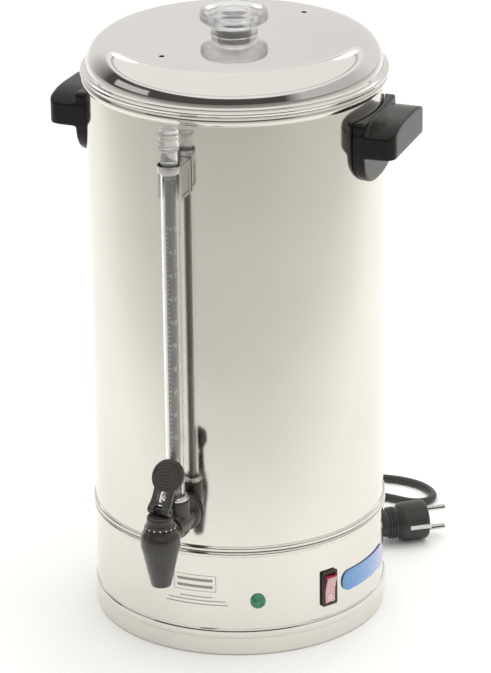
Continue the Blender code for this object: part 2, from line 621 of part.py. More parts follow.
def make_controls(green, dark, red, blue):
    """The pilot lamp, the rocker switch and the plain badge on the base."""
    lens = [(0, 119), (4.8, 119), (4.8, 125.2), (6.5, 125.3), (6.5, 126.6), (4.9, 128.4), (0, 129.2)]
    finish("lamp_lens", face_front(lathe(lens, 20, closed=False), LAMP_Z), green, LAMP_AZIMUTH)
    finish("lamp_holder", face_front(lathe([(0, 104), (5.6, 104), (5.6, 113), (7.4, 114), (7.4, 122.6),
                                            (5.15, 122.6), (5.15, 118.6), (0, 118.6)], 20, closed=False),
                                     LAMP_Z), dark, LAMP_AZIMUTH)

    frame = prism(rounded_rectangle(SWITCH_WIDTH, SWITCH_HEIGHT, 1.6, 3), BODY_R + 0.6, BODY_R + 2.6)
    switch = finish("switch_frame", face_front(frame, SWITCH_Z), dark, SWITCH_AZIMUTH)
    join(switch, face_front(prism(rounded_rectangle(12.6, 28.8, 1.0, 2), 104, BODY_R + 1), SWITCH_Z))
    cut(switch, face_front(prism([(-5.6, -13.7), (5.6, -13.7), (5.6, 13.7), (-5.6, 13.7)], 115,
                                 BODY_R + 9), SWITCH_Z))
    face = [(-12.6, 5.3), (0, 3.9), (12.6, 5.3), (12.2, -1), (0, -5), (-12.2, -1)]
    rocker = prism([(-y, z) for z, y in face], -5.3, 5.3)
    rocker.transform(Matrix.Rotation(math.radians(90), 4, "Z") @ Matrix.Rotation(math.radians(90), 4, "X"))
    key = finish("switch_rocker", rocker, red, SWITCH_AZIMUTH)
    key.location = (direction(SWITCH_AZIMUTH) * (BODY_R - 1.0) + Vector((0, 0, SWITCH_Z))) * MM
    key.rotation_euler.x = math.radians(ROCKER_TILT)

    steps = 10
    bm = bmesh.new()
    loops = []
    for step in range(steps + 1):
        out = direction(BADGE_START + (BADGE_END - BADGE_START) * step / steps)
        corners = ((125.5, 41.5), (126.3, 41.5), (126.3, 60), (125.5, 60))
        loops.append([bm.verts.new(out * r + Vector((0, 0, z))) for r, z in corners])
    for first, second in zip(loops, loops[1:]):
        for i in range(4):
            j = (i + 1) % 4
            bm.faces.new((first[i], first[j], second[j], second[i]))
    bm.faces.new(loops[0])
    bm.faces.new(loops[-1])
    finish("badge", bm, blue)


# ---------------------------------------------------------------- mains cord

def make_cord(black, metal):
    """The gland, the cord's two free stretches, the coil of its spare length, and the plug."""
    gland = [(3.8, 115), (6.0, 115), (6.0, BODY_R + 0.4), (8.5, BODY_R + 0.5), (8.5, BODY_R + 3.5),
             (6.4, BODY_R + 5), (4.9, 151), (3.8, 151)]
    finish("cord_gland", face_front(lathe(gland, 14), GLAND_Z), black, GLAND_AZIMUTH)
    tube("cord_to_coil", CORD_TO_COIL, CORD_D / 2, black, samples=1)
    tube("cord_to_plug", CORD_TO_PLUG, CORD_D / 2, black, samples=1)
    half = CORD_D * 1.05
    ring = [(COIL_R - half, 2.0), (COIL_R - half + 2, 0.1), (COIL_R + half - 2, 0.1), (COIL_R + half, 2.0),
            (COIL_R + half, 12.4), (COIL_R + half - 2, 14.4), (COIL_R - half + 2, 14.4), (COIL_R - half, 12.4)]
    finish("cord_coil", moved(lathe(ring, 20), *COIL_CENTRE), black)

    along = PLUG_DIRECTION
    across = Vector((0, 0, 1)).cross(along)
    place = Matrix.Translation(PLUG_REAR) @ Matrix((
        (across.x, 0, along.x, 0), (across.y, 0, along.y, 0), (0, 1, 0, 0), (0, 0, 0, 1)))
    body = [(0, 0.4), (5.2, 0.4), (9, 2.5), (12.2, 8), (13, 22), (16.8, 25), (17.6, 27), (17.6, 47.5),
            (16.6, 49), (0, 49)]
    shape = lathe(body, 20, closed=False)
    shape.transform(place)
    plug = finish("plug_body", shape, black)
    slots = joined(box((15.9, -2.4, 30), (20, 2.4, 60)), box((-20, -2.4, 30), (-15.9, 2.4, 60)))
    slots.transform(place)
    cut(plug, slots)
    for index, height in enumerate((-9.5, 9.5)):
        pin = moved(lathe_cylinder(2.4, 49.3, 67.5, 12), y=height)
        pin.transform(place)
        finish(f"plug_pin_{index + 1}", pin, metal)
    for index, side in enumerate((-1, 1)):
        low, high = sorted((side * 16.2, side * 17.3))
        clip = box((low, -2.0, 30.4), (high, 2.0, 50))
        clip.transform(place)
        finish(f"plug_earth_clip_{index + 1}", clip, metal)


def main():
    for item in list(bpy.data.objects):
        bpy.data.objects.remove(item, do_unlink=True)
    steel = make_material("steel", (0.66, 0.64, 0.60), 0.22, metallic=1.0)
    chrome = make_material("chrome", (0.80, 0.80, 0.80), 0.08, metallic=1.0)
    zinc = make_material("zinc", (0.55, 0.55, 0.56), 0.35, metallic=1.0)
    brass = make_material("brass", (0.72, 0.55, 0.28), 0.30, metallic=1.0)
    bakelite = make_material("bakelite", (0.035, 0.032, 0.030), 0.32)
    black = make_material("black_plastic", (0.045, 0.042, 0.040), 0.38)
    dark = make_material("dark_plastic", (0.030, 0.022, 0.020), 0.40)
    rubber = make_material("rubber", (0.06, 0.06, 0.06), 0.70)
    silicone = make_material("silicone", (0.75, 0.73, 0.70), 0.55)
    mica = make_material("mica", (0.45, 0.36, 0.24), 0.60)
    wire = make_material("wire", (0.70, 0.68, 0.62), 0.50)
    glass = make_material("glass", (0.92, 0.94, 0.94), 0.03, alpha=0.35)
    clear = make_material("clear_plastic", (0.93, 0.93, 0.93), 0.05, alpha=0.45)
    green = make_material("green_lens", (0.05, 0.35, 0.18), 0.15)
    red = make_material("red_rocker", (0.55, 0.06, 0.08), 0.25)
    blue = make_material("badge_blue", (0.10, 0.30, 0.62), 0.30)

    make_base_shell(steel)
    make_bottom_cover(steel)
    make_cover_screws(zinc)
    make_tank(steel)
    make_heater(steel, brass, silicone, mica, dark)
    make_wiring(dark, wire)
    make_lid(steel, clear, silicone)
    make_handle("handle_left", -HANDLE_AZIMUTH, bakelite)
    make_handle("handle_right", HANDLE_AZIMUTH, bakelite)
    make_handle_screws(zinc)
    make_gauge(glass, clear, chrome, silicone, zinc)
    make_tap(black, rubber, zinc, silicone)
    make_lever(black, zinc)
    make_pump(steel, silicone)
    make_controls(green, dark, red, blue)
    make_cord(black, chrome)


main()
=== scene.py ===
"""Looks of the electric coffee percolator urn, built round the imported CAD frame.

Shapes are made in millimetres and turned into metres as they become objects. +Z is up, the urn's
axis is the Z axis, it stands on Z = 0, and the tap and the gauge face -Y. Azimuths are in degrees
from the front, positive towards +X."""

import json
import math

import bmesh
import bpy
from mathutils import Matrix, Vector


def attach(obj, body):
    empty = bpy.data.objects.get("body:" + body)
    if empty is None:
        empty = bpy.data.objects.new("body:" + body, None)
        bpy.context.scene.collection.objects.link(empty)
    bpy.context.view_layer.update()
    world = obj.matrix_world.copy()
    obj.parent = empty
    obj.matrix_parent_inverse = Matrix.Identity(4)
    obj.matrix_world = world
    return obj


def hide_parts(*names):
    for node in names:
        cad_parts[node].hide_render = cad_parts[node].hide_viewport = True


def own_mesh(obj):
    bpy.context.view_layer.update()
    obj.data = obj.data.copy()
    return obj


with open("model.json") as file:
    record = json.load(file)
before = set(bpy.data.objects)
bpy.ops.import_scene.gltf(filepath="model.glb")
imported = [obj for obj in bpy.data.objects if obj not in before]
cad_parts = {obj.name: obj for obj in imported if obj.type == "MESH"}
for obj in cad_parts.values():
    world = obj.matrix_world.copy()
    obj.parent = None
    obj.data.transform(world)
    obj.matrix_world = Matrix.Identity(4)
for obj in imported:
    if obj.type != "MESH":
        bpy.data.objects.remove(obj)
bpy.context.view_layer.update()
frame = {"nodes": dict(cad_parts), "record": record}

MM = 0.001

BODY_R = 125.0
WALL = 1.5
INNER_R = BODY_R - WALL
ROUND = 192
FINE = 64

VIEW_AZIMUTH = 21.4
VIEW_ROLL = -0.65
VIEW_PLACE = Vector((0.0, -3.10423, 1.47554))
VIEW_AIM = Vector((0.00199, 0.92930, -0.36933))
VIEW_LENS = 208.37


# ---------------------------------------------------------------- camera

def make_camera():
    """The camera at the photograph's angle."""
    turn = Matrix.Rotation(math.radians(VIEW_AZIMUTH), 3, "Z")
    forward = (turn @ VIEW_AIM).normalized()
    place = turn @ VIEW_PLACE
    level = forward.cross(Vector((0, 0, 1))).normalized()
    above = level.cross(forward)
    roll = math.radians(VIEW_ROLL)
    right = level * math.cos(roll) + above * math.sin(roll)
    up = above * math.cos(roll) - level * math.sin(roll)
    data = bpy.data.cameras.new("view_camera")
    data.sensor_width = 36.0
    data.lens = VIEW_LENS
    data.clip_end = 30.0
    camera = bpy.data.objects.new("view_camera", data)
    bpy.context.collection.objects.link(camera)
    camera.matrix_world = Matrix((
        (right.x, up.x, -forward.x, place.x),
        (right.y, up.y, -forward.y, place.y),
        (right.z, up.z, -forward.z, place.z),
        (0, 0, 0, 1),
    ))
    bpy.context.scene.camera = camera


make_camera()


# ---------------------------------------------------------------- materials

class Nodes:
    """Short ways to add and link the nodes of a material or a world."""

    def __init__(self, tree):
        self.tree = tree

    def node(self, kind, **settings):
        made = self.tree.nodes.new(kind)
        for key, value in settings.items():
            setattr(made, key, value)
        return made

    def link(self, source, target):
        self.tree.links.new(source, target)

    def ramp(self, source, *stops):
        """A colour that follows a value through (place, colour) stops."""
        made = self.node("ShaderNodeValToRGB")
        elements = made.color_ramp.elements
        while len(elements) < len(stops):
            elements.new(0.5)
        for element, (place, color) in zip(elements, stops):
            element.position = place
            element.color = (*color, 1.0)
        self.link(source, made.inputs["Fac"])
        return made.outputs["Color"]

    def blend(self, factor, first, second):
        made = self.node("ShaderNodeMix", data_type="RGBA")
        if isinstance(factor, float):
            made.inputs[0].default_value = factor
        else:
            self.link(factor, made.inputs[0])
        for socket, color in ((made.inputs[6], first), (made.inputs[7], second)):
            if isinstance(color, tuple):
                socket.default_value = (*color, 1.0)
            else:
                self.link(color, socket)
        return made.outputs[2]


class Shade(Nodes):
    """A Principled material built up from procedural layers in object space."""

    def __init__(self, name, **sockets):
        self.material = bpy.data.materials.new(name)
        self.material.use_nodes = True
        super().__init__(self.material.node_tree)
        self.shader = self.tree.nodes["Principled BSDF"]
        self.place = self.node("ShaderNodeTexCoord").outputs["Object"]
        self.normal = None
        for key, value in sockets.items():
            self.set(key.replace("_", " "), value)

    def set(self, socket, value):
        if isinstance(value, tuple) and len(value) == 3:
            value = (*value, 1.0)
        self.shader.inputs[socket].default_value = value

    def noise(self, scale, detail=3.0, stretch=(1, 1, 1), rough=0.5):
        """Noise from 0 to 1 at a number of features per metre, stretched per axis."""
        mapping = self.node("ShaderNodeMapping")
        mapping.inputs["Scale"].default_value = stretch
        self.link(self.place, mapping.inputs["Vector"])
        noise = self.node("ShaderNodeTexNoise")
        noise.inputs["Scale"].default_value = scale
        noise.inputs["Detail"].default_value = detail
        noise.inputs["Roughness"].default_value = rough
        self.link(mapping.outputs["Vector"], noise.inputs["Vector"])
        return noise.outputs["Fac"]

    def ranged(self, source, low, high, start=0.3, end=0.7):
        made = self.node("ShaderNodeMapRange")
        made.inputs["From Min"].default_value = start
        made.inputs["From Max"].default_value = end
        made.inputs["To Min"].default_value = low
        made.inputs["To Max"].default_value = high
        self.link(source, made.inputs["Value"])
        return made.outputs["Result"]

    def bump(self, source, distance, strength=1.0):
        """Adds relief, in metres, on top of any that is there already."""
        made = self.node("ShaderNodeBump")
        made.inputs["Distance"].default_value = distance
        made.inputs["Strength"].default_value = strength
        self.link(source, made.inputs["Height"])
        if self.normal:
            self.link(self.normal, made.inputs["Normal"])
        self.normal = made.outputs["Normal"]
        self.link(self.normal, self.shader.inputs["Normal"])

    def edges(self, low=0.52, high=0.60):
        """A mask that is white along outer edges."""
        pointiness = self.node("ShaderNodeNewGeometry").outputs["Pointiness"]
        return self.ranged(pointiness, 0.0, 1.0, low, high)

    def color(self, source):
        self.link(source, self.shader.inputs["Base Color"])

    def roughness(self, source):
        self.link(source, self.shader.inputs["Roughness"])


def steel_material(name, tone, rough, stretch, grain=1.0):
    """Polished stainless sheet: faint polishing lines, smudges and tiny waves in the sheet."""
    shade = Shade(name, Metallic=1.0, Specular_IOR_Level=0.5)
    smudge = shade.noise(9, 4)
    light = tuple(min(1.0, c * 1.03) for c in tone)
    dark = tuple(c * 0.95 for c in tone)
    lines = shade.noise(60, 2, stretch)
    cloudy = shade.blend(shade.ranged(smudge, 0.0, 1.0), dark, light)
    shade.color(shade.blend(shade.ranged(lines, 0.0, 0.12), cloudy, tuple(c * 0.9 for c in tone)))
    haze = shade.node("ShaderNodeMath", operation="ADD")
    shade.link(shade.ranged(smudge, -0.02, 0.03), haze.inputs[0])
    shade.link(shade.ranged(lines, rough - 0.02, rough + 0.03), haze.inputs[1])
    shade.roughness(haze.outputs[0])
    shade.bump(shade.noise(7, 2), 0.0006 * grain, 0.25)
    shade.bump(lines, 0.00001, 0.35)
    return shade.material


def metal_material(name, tone, rough, grain=900):
    """Plated or brass hardware with a fine satin grain and duller hollows."""
    shade = Shade(name, Metallic=1.0)
    spots = shade.noise(grain, 3)
    shade.color(shade.blend(shade.ranged(spots, 0.0, 1.0), tuple(c * 0.86 for c in tone), tone))
    shade.roughness(shade.ranged(spots, rough - 0.04, rough + 0.08))
    shade.bump(spots, 0.00003, 0.4)
    return shade.material


def moulded_material(name, tone, rough, coat=0.0, texture=0.00004, grain=1400, worn=1.6, sheen=0.5):
    """Moulded plastic or bakelite: flow marks, a fine moulded texture and lighter worn edges."""
    shade = Shade(name, Coat_Weight=coat, Coat_Roughness=0.08, Specular_IOR_Level=sheen)
    flow = shade.noise(35, 4)
    fine = shade.noise(grain, 2)
    body = shade.blend(shade.ranged(flow, 0.0, 1.0), tuple(c * 0.85 for c in tone),
                       tuple(c * 1.12 for c in tone))
    shade.color(shade.blend(shade.edges(), body, tuple(min(1.0, c * worn) for c in tone)))
    shade.roughness(shade.ranged(flow, rough - 0.04, rough + 0.06))
    shade.bump(fine, texture, 0.3)
    return shade.material


def clear_material(name, tint, rough, transmission=1.0, ior=1.49):
    """Clear glass or plastic with faint draw lines and specks of haze."""
    shade = Shade(name, Transmission_Weight=transmission, IOR=ior)
    lines = shade.noise(120, 2, (6, 6, 0.4))
    haze = shade.noise(60, 3)
    shade.color(shade.blend(shade.ranged(haze, 0.0, 1.0), tint, tuple(min(1.0, c * 1.03) for c in tint)))
    shade.roughness(shade.ranged(haze, rough, rough + 0.04))
    shade.bump(lines, 0.00004, 0.35)
    return shade.material


def lens_material(name, tone, deep, transmission=0.35):
    """Translucent coloured plastic over a dull core."""
    shade = Shade(name, Transmission_Weight=transmission, IOR=1.49, Coat_Weight=0.5, Coat_Roughness=0.05)
    cloud = shade.noise(220, 3)
    shade.color(shade.blend(shade.ranged(cloud, 0.0, 1.0), deep, tone))
    shade.roughness(shade.ranged(cloud, 0.12, 0.24))
    shade.bump(shade.noise(600, 2), 0.00005, 0.3)
    return shade.material


def badge_material():
    """Plain printed film that goes from blue at its near end to violet at the far one."""
    shade = Shade("badge_film", Coat_Weight=0.8, Coat_Roughness=0.06)
    parts = shade.node("ShaderNodeSeparateXYZ")
    shade.link(shade.place, parts.inputs[0])
    along = shade.ranged(parts.outputs["Y"], 0.0, 1.0, -0.055, 0.020)
    fade = shade.ramp(along, (0.0, (0.07, 0.27, 0.60)), (0.5, (0.16, 0.36, 0.70)),
                      (1.0, (0.42, 0.38, 0.66)))
    grain = shade.noise(700, 2)
    shade.color(shade.blend(shade.ranged(grain, 0.0, 0.06), fade, (0.75, 0.80, 0.90)))
    shade.roughness(shade.ranged(grain, 0.22, 0.34))
    shade.bump(grain, 0.00002, 0.3)
    return shade.material


def mica_material():
    shade = Shade("mica_sheet")
    layers = shade.noise(120, 5, (1, 1, 8), 0.7)
    shade.color(shade.ramp(layers, (0.3, (0.30, 0.22, 0.13)), (0.7, (0.55, 0.45, 0.30))))
    shade.roughness(shade.ranged(layers, 0.4, 0.65))
    shade.bump(layers, 0.0002, 0.4)
    return shade.material


def braid_material():
    """Glass-sleeved wire with the criss-cross of its braid."""
    shade = Shade("braided_sleeve")
    weave = shade.node("ShaderNodeTexVoronoi")
    weave.inputs["Scale"].default_value = 900
    shade.link(shade.place, weave.inputs["Vector"])
    shade.color(shade.ramp(weave.outputs["Distance"], (0.1, (0.78, 0.76, 0.70)), (0.8, (0.50, 0.48, 0.43))))
    shade.roughness(shade.ranged(weave.outputs["Distance"], 0.5, 0.7))
    shade.bump(weave.outputs["Distance"], 0.0002, 0.5)
    return shade.material


MATERIALS = {
    "steel": steel_material("steel_wall", (0.755, 0.738, 0.69), 0.10, (0.4, 0.4, 30)),
    "lid_steel": steel_material("steel_lid", (0.84, 0.82, 0.80), 0.05, (0.6, 0.6, 0.6), 0.5),
    "zinc": metal_material("zinc_plate", (0.60, 0.60, 0.61), 0.32),
    "chrome": metal_material("bright_plate", (0.66, 0.65, 0.64), 0.10, 400),
    "black_steel": metal_material("blackened_steel", (0.07, 0.068, 0.066), 0.35),
    "brass": metal_material("turned_brass", (0.72, 0.53, 0.26), 0.26),
    "bakelite": moulded_material("bakelite", (0.012, 0.010, 0.009), 0.17, texture=0.00002,
                                 grain=700, sheen=0.28),
    "black_plastic": moulded_material("tap_plastic", (0.030, 0.026, 0.023), 0.24, coat=0.25),
    "dark_plastic": moulded_material("switch_plastic", (0.030, 0.022, 0.018), 0.33),
    "cord_black": moulded_material("cord_sheath", (0.032, 0.031, 0.030), 0.36, texture=0.00008, grain=800),
    "silicone": moulded_material("silicone", (0.72, 0.70, 0.66), 0.50, texture=0.00006, worn=1.1),
    "rubber": moulded_material("rubber", (0.06, 0.058, 0.056), 0.62, texture=0.0001),
    "mica": mica_material(),
    "wire": braid_material(),
    "glass": clear_material("gauge_glass", (0.95, 0.97, 0.97), 0.01, ior=1.47),
    "clear_plastic": clear_material("clear_plastic", (0.95, 0.95, 0.96), 0.12, transmission=0.86),
    "scale_grey": moulded_material("scale_insert", (0.30, 0.285, 0.27), 0.22, coat=0.6,
                                   texture=0.00001, worn=1.1),
    "green_lens": lens_material("green_lens", (0.06, 0.42, 0.22), (0.03, 0.26, 0.14)),
    "red_rocker": lens_material("red_rocker", (0.62, 0.05, 0.09), (0.34, 0.02, 0.04)),
    "badge_blue": badge_material(),
    "print_grey": moulded_material("printed_ink", (0.30, 0.30, 0.29), 0.5, texture=0.00001, worn=1.1),
    "print_white": moulded_material("white_enamel", (0.85, 0.85, 0.84), 0.35, texture=0.00001, worn=1.0),
    "gland_black": moulded_material("gland_rubber", (0.036, 0.035, 0.034), 0.45, texture=0.0001, grain=600),
}


# ---------------------------------------------------------------- shapes

def lathe(profile, segments=FINE, closed=True):
    """A turned solid about Z. The profile lists (radius, z); an open one starts and ends on the axis."""
    bm = bmesh.new()
    rings = []
    for radius, z in profile:
        if radius < 1e-6:
            rings.append([bm.verts.new((0, 0, z))] * segments)
            continue
        ring = []
        for i in range(segments):
            angle = 2 * math.pi * i / segments
            ring.append(bm.verts.new((radius * math.cos(angle), radius * math.sin(angle), z)))
        rings.append(ring)
    pairs = list(zip(rings, rings[1:]))
    if closed:
        pairs.append((rings[-1], rings[0]))
    for lower, upper in pairs:
        for i in range(segments):
            j = (i + 1) % segments
            corners = list(dict.fromkeys((lower[i], lower[j], upper[j], upper[i])))
            if len(corners) > 2:
                bm.faces.new(corners)
    return bm


def arc(centre, radius, start, end, steps=8):
    """Profile points round a centre, angles in degrees from outwards towards up."""
    points = []
    for step in range(steps + 1):
        angle = math.radians(start + (end - start) * step / steps)
        points.append((centre[0] + radius * math.cos(angle), centre[1] + radius * math.sin(angle)))
    return points


def bead(radius, z_low, z_high, proud, steps=14):
    """Profile points, going up, of a rolled bead standing out of a wall."""
    middle = (z_low + z_high) / 2
    half = (z_high - z_low) / 2
    points = []
    for step in range(steps + 1):
        angle = math.radians(-90 + 180 * step / steps)
        points.append((radius + proud * math.cos(angle), middle + half * math.sin(angle)))
    return points


def rounded(profile, radius, steps=4):
    """The same profile with each inner corner replaced by a small arc."""
    points = [profile[0]]
    for before, corner, after in zip(profile, profile[1:], profile[2:]):
        here = Vector(corner)
        back = Vector(before) - here
        ahead = Vector(after) - here
        reach = min(radius, back.length * 0.45, ahead.length * 0.45)
        start = here + back.normalized() * reach
        end = here + ahead.normalized() * reach
        for step in range(steps + 1):
            t = step / steps
            spot = start * (1 - t) ** 2 + here * 2 * t * (1 - t) + end * t ** 2
            points.append((spot.x, spot.y))
    points.append(profile[-1])
    return points


def prism(outline, low, high, bevel=0.0, steps=3):
    """An outline of (x, y) points extruded along Z from low to high, with rounded end edges."""
    bm = bmesh.new()
    face = bm.faces.new([bm.verts.new((x, y, low)) for x, y in outline])
    grown = bmesh.ops.extrude_face_region(bm, geom=[face])
    top = [v for v in grown["geom"] if isinstance(v, bmesh.types.BMVert)]
    bmesh.ops.translate(bm, verts=top, vec=(0, 0, high - low))
    if bevel:
        ends = [e for e in bm.edges if abs(e.verts[0].co.z - e.verts[1].co.z) < 1e-6]
        bmesh.ops.bevel(bm, geom=ends, offset=bevel, segments=steps, affect="EDGES")
    return bm


def rounded_rectangle(width, height, radius, steps=6):
    points = []
    for sign_x, sign_y, start in ((1, 1, 0), (-1, 1, 90), (-1, -1, 180), (1, -1, 270)):
        centre = (sign_x * (width / 2 - radius), sign_y * (height / 2 - radius))
        points += arc(centre, radius, start, start + 90, steps)
    return points


def cylinder(radius, low, high, segments=48, bevel=0.0):
    profile = [(0, low), (radius, low), (radius, high), (0, high)]
    return lathe(rounded(profile, bevel) if bevel else profile, segments, closed=False)


def front(bm, height=0.0):
    """Turn a shape made along +Z to point along -Y, with its axis at the given height."""
    bm.transform(Matrix.Rotation(math.radians(90), 4, "X"))
    bm.transform(Matrix.Translation((0, 0, height)))
    return bm


def shifted(bm, x=0.0, y=0.0, z=0.0):
    bm.transform(Matrix.Translation((x, y, z)))
    return bm


def turned(bm, degrees, axis="Z"):
    bm.transform(Matrix.Rotation(math.radians(degrees), 4, axis))
    return bm


def merged(*shapes):
    """Several separate shapes as one mesh."""
    whole = bmesh.new()
    for shape in shapes:
        mesh = bpy.data.meshes.new("shape")
        shape.to_mesh(mesh)
        shape.free()
        whole.from_mesh(mesh)
        bpy.data.meshes.remove(mesh)
    return whole


def direction(azimuth):
    angle = math.radians(azimuth)
    return Vector((math.sin(angle), -math.cos(angle), 0.0))


def plain_object(name, bm):
    bmesh.ops.recalc_face_normals(bm, faces=bm.faces)
    mesh = bpy.data.meshes.new(name)
    bm.to_mesh(mesh)
    bm.free()
    item = bpy.data.objects.new(name, mesh)
    bpy.context.collection.objects.link(item)
    return item


def solid(bm, *steps):
    """A mesh after Boolean steps, each an (operation, shape) pair."""
    item = plain_object("work", bm)
    tools = []
    for operation, shape in steps:
        tool = plain_object("tool", shape)
        modifier = item.modifiers.new(operation, "BOOLEAN")
        modifier.operation = operation
        modifier.solver = "EXACT"
        modifier.object = tool
        tools.append(tool)
    graph = bpy.context.evaluated_depsgraph_get()
    graph.update()
    result = bmesh.new()
    evaluated = item.evaluated_get(graph)
    result.from_mesh(evaluated.to_mesh())
    evaluated.to_mesh_clear()
    for used in (*tools, item):
        mesh = used.data
        bpy.data.objects.remove(used, do_unlink=True)
        bpy.data.meshes.remove(mesh)
    return result


def softened(bm, voxel, passes, factor=0.5):
    """The shape remeshed evenly and smoothed, so that every edge is rounded."""
    item = plain_object("work", bm)
    remesh = item.modifiers.new("even", "REMESH")
    remesh.mode = "VOXEL"
    remesh.voxel_size = voxel
    smooth = item.modifiers.new("soft", "SMOOTH")
    smooth.factor = factor
    smooth.iterations = passes
    graph = bpy.context.evaluated_depsgraph_get()
    graph.update()
    result = bmesh.new()
    evaluated = item.evaluated_get(graph)
    result.from_mesh(evaluated.to_mesh())
    evaluated.to_mesh_clear()
    mesh = item.data
    bpy.data.objects.remove(item, do_unlink=True)
    bpy.data.meshes.remove(mesh)
    return result


def piece(name, bm, material, body, nodes=(), sharp=32.0):
    """A finished piece: placed in metres, shaded, given its material, riding on its body and standing for
    its CAD nodes."""
    bm.transform(Matrix.Scale(MM, 4))
    item = plain_object(name, bm)
    item.data.shade_smooth()
    item.data.set_sharp_from_angle(angle=math.radians(sharp))
    item.data.materials.append(MATERIALS[material])
    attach(item, body)
    if nodes:
        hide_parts(*nodes)
    return item


# ---------------------------------------------------------------- mains cord

CORD_D = 7.0
GLAND_AZIMUTH = -158.6
GLAND_Z = 34.0
GLAND_END_R = 151.0
LYING_Z = 3.6
COIL_CENTRE = (-136.7, 243.4)
PLUG_REAR = Vector((75.6, 136.2, 18.0))
PLUG_DIRECTION = Vector((0.805, 0.594, 0.0)).normalized()
CORD_TO_COIL = [
    (-55, 141, 34), (-59, 152, 33.5), (-64, 164, 30), (-69, 177, 22), (-74, 191, 12.5),
    (-79, 204, 6), (-84, 216, 3.8), (-90, 229, 3.6),
]
CORD_TO_PLUG = [
    (-94, 219, 10.9), (-79, 225, 10.9), (-63, 231, 10), (-42, 239, 6.5), (-20, 248, 3.9),
    (4, 258, 3.6), (25, 266, 3.6), (43, 270, 3.6), (60, 270, 3.6), (77, 265.5, 3.6),
    (90, 256, 3.6), (96.5, 244, 3.6), (93, 232, 3.6), (81, 226.5, 3.6), (64, 228.5, 3.6),
    (46, 230, 3.6), (32, 226.2, 3.6), (21.8, 216, 3.6), (18, 202, 3.6), (20, 187, 3.6),
    (24, 172, 3.8), (28, 158.5, 5.2), (33, 147, 8), (41, 137.5, 11.5), (50, 131.5, 14.8),
    (59.5, 129.3, 17), (70, 132, 18), (75.6, 136.2, 18),
]
COIL_START = 15
COIL_END = 1025
COIL_STEP = 18


def eased(start, end, value):
    t = min(1.0, max(0.0, (value - start) / (end - start)))
    return t * t * (3 - 2 * t)


def coil_track(degrees):
    """(radius, height) along the coil: an outer turn, an inner one, then one that lies on both."""
    outer, inner, middle, last = 42.0, 35.0, 38.5, 45.5
    lower_turn = outer - (outer - inner) * eased(300, 360, degrees)
    if degrees < 590:
        return lower_turn, LYING_Z
    if degrees < 655:
        angle = math.radians(180 - 60 * eased(590, 655, degrees))
        return outer + CORD_D * math.cos(angle), LYING_Z + CORD_D * math.sin(angle)
    if degrees < 900:
        below = outer - (outer - inner) * eased(300, 360, degrees - 360)
        return middle, LYING_Z + math.sqrt(CORD_D ** 2 - (middle - below) ** 2)
    radius = middle + (last - middle) * eased(900, 950, degrees)
    return radius, LYING_Z + math.sqrt(CORD_D ** 2 - (radius - outer) ** 2)


def cord_points():
    points = [Vector(p) for p in CORD_TO_COIL]
    turns = int((COIL_END - COIL_START) / COIL_STEP)
    for step in range(turns + 1):
        degrees = COIL_START + (COIL_END - COIL_START) * step / turns
        radius, height = coil_track(degrees)
        angle = math.radians(degrees)
        points.append(Vector((COIL_CENTRE[0] + radius * math.cos(angle),
                              COIL_CENTRE[1] + radius * math.sin(angle), height)))
    return points + [Vector(p) for p in CORD_TO_PLUG]


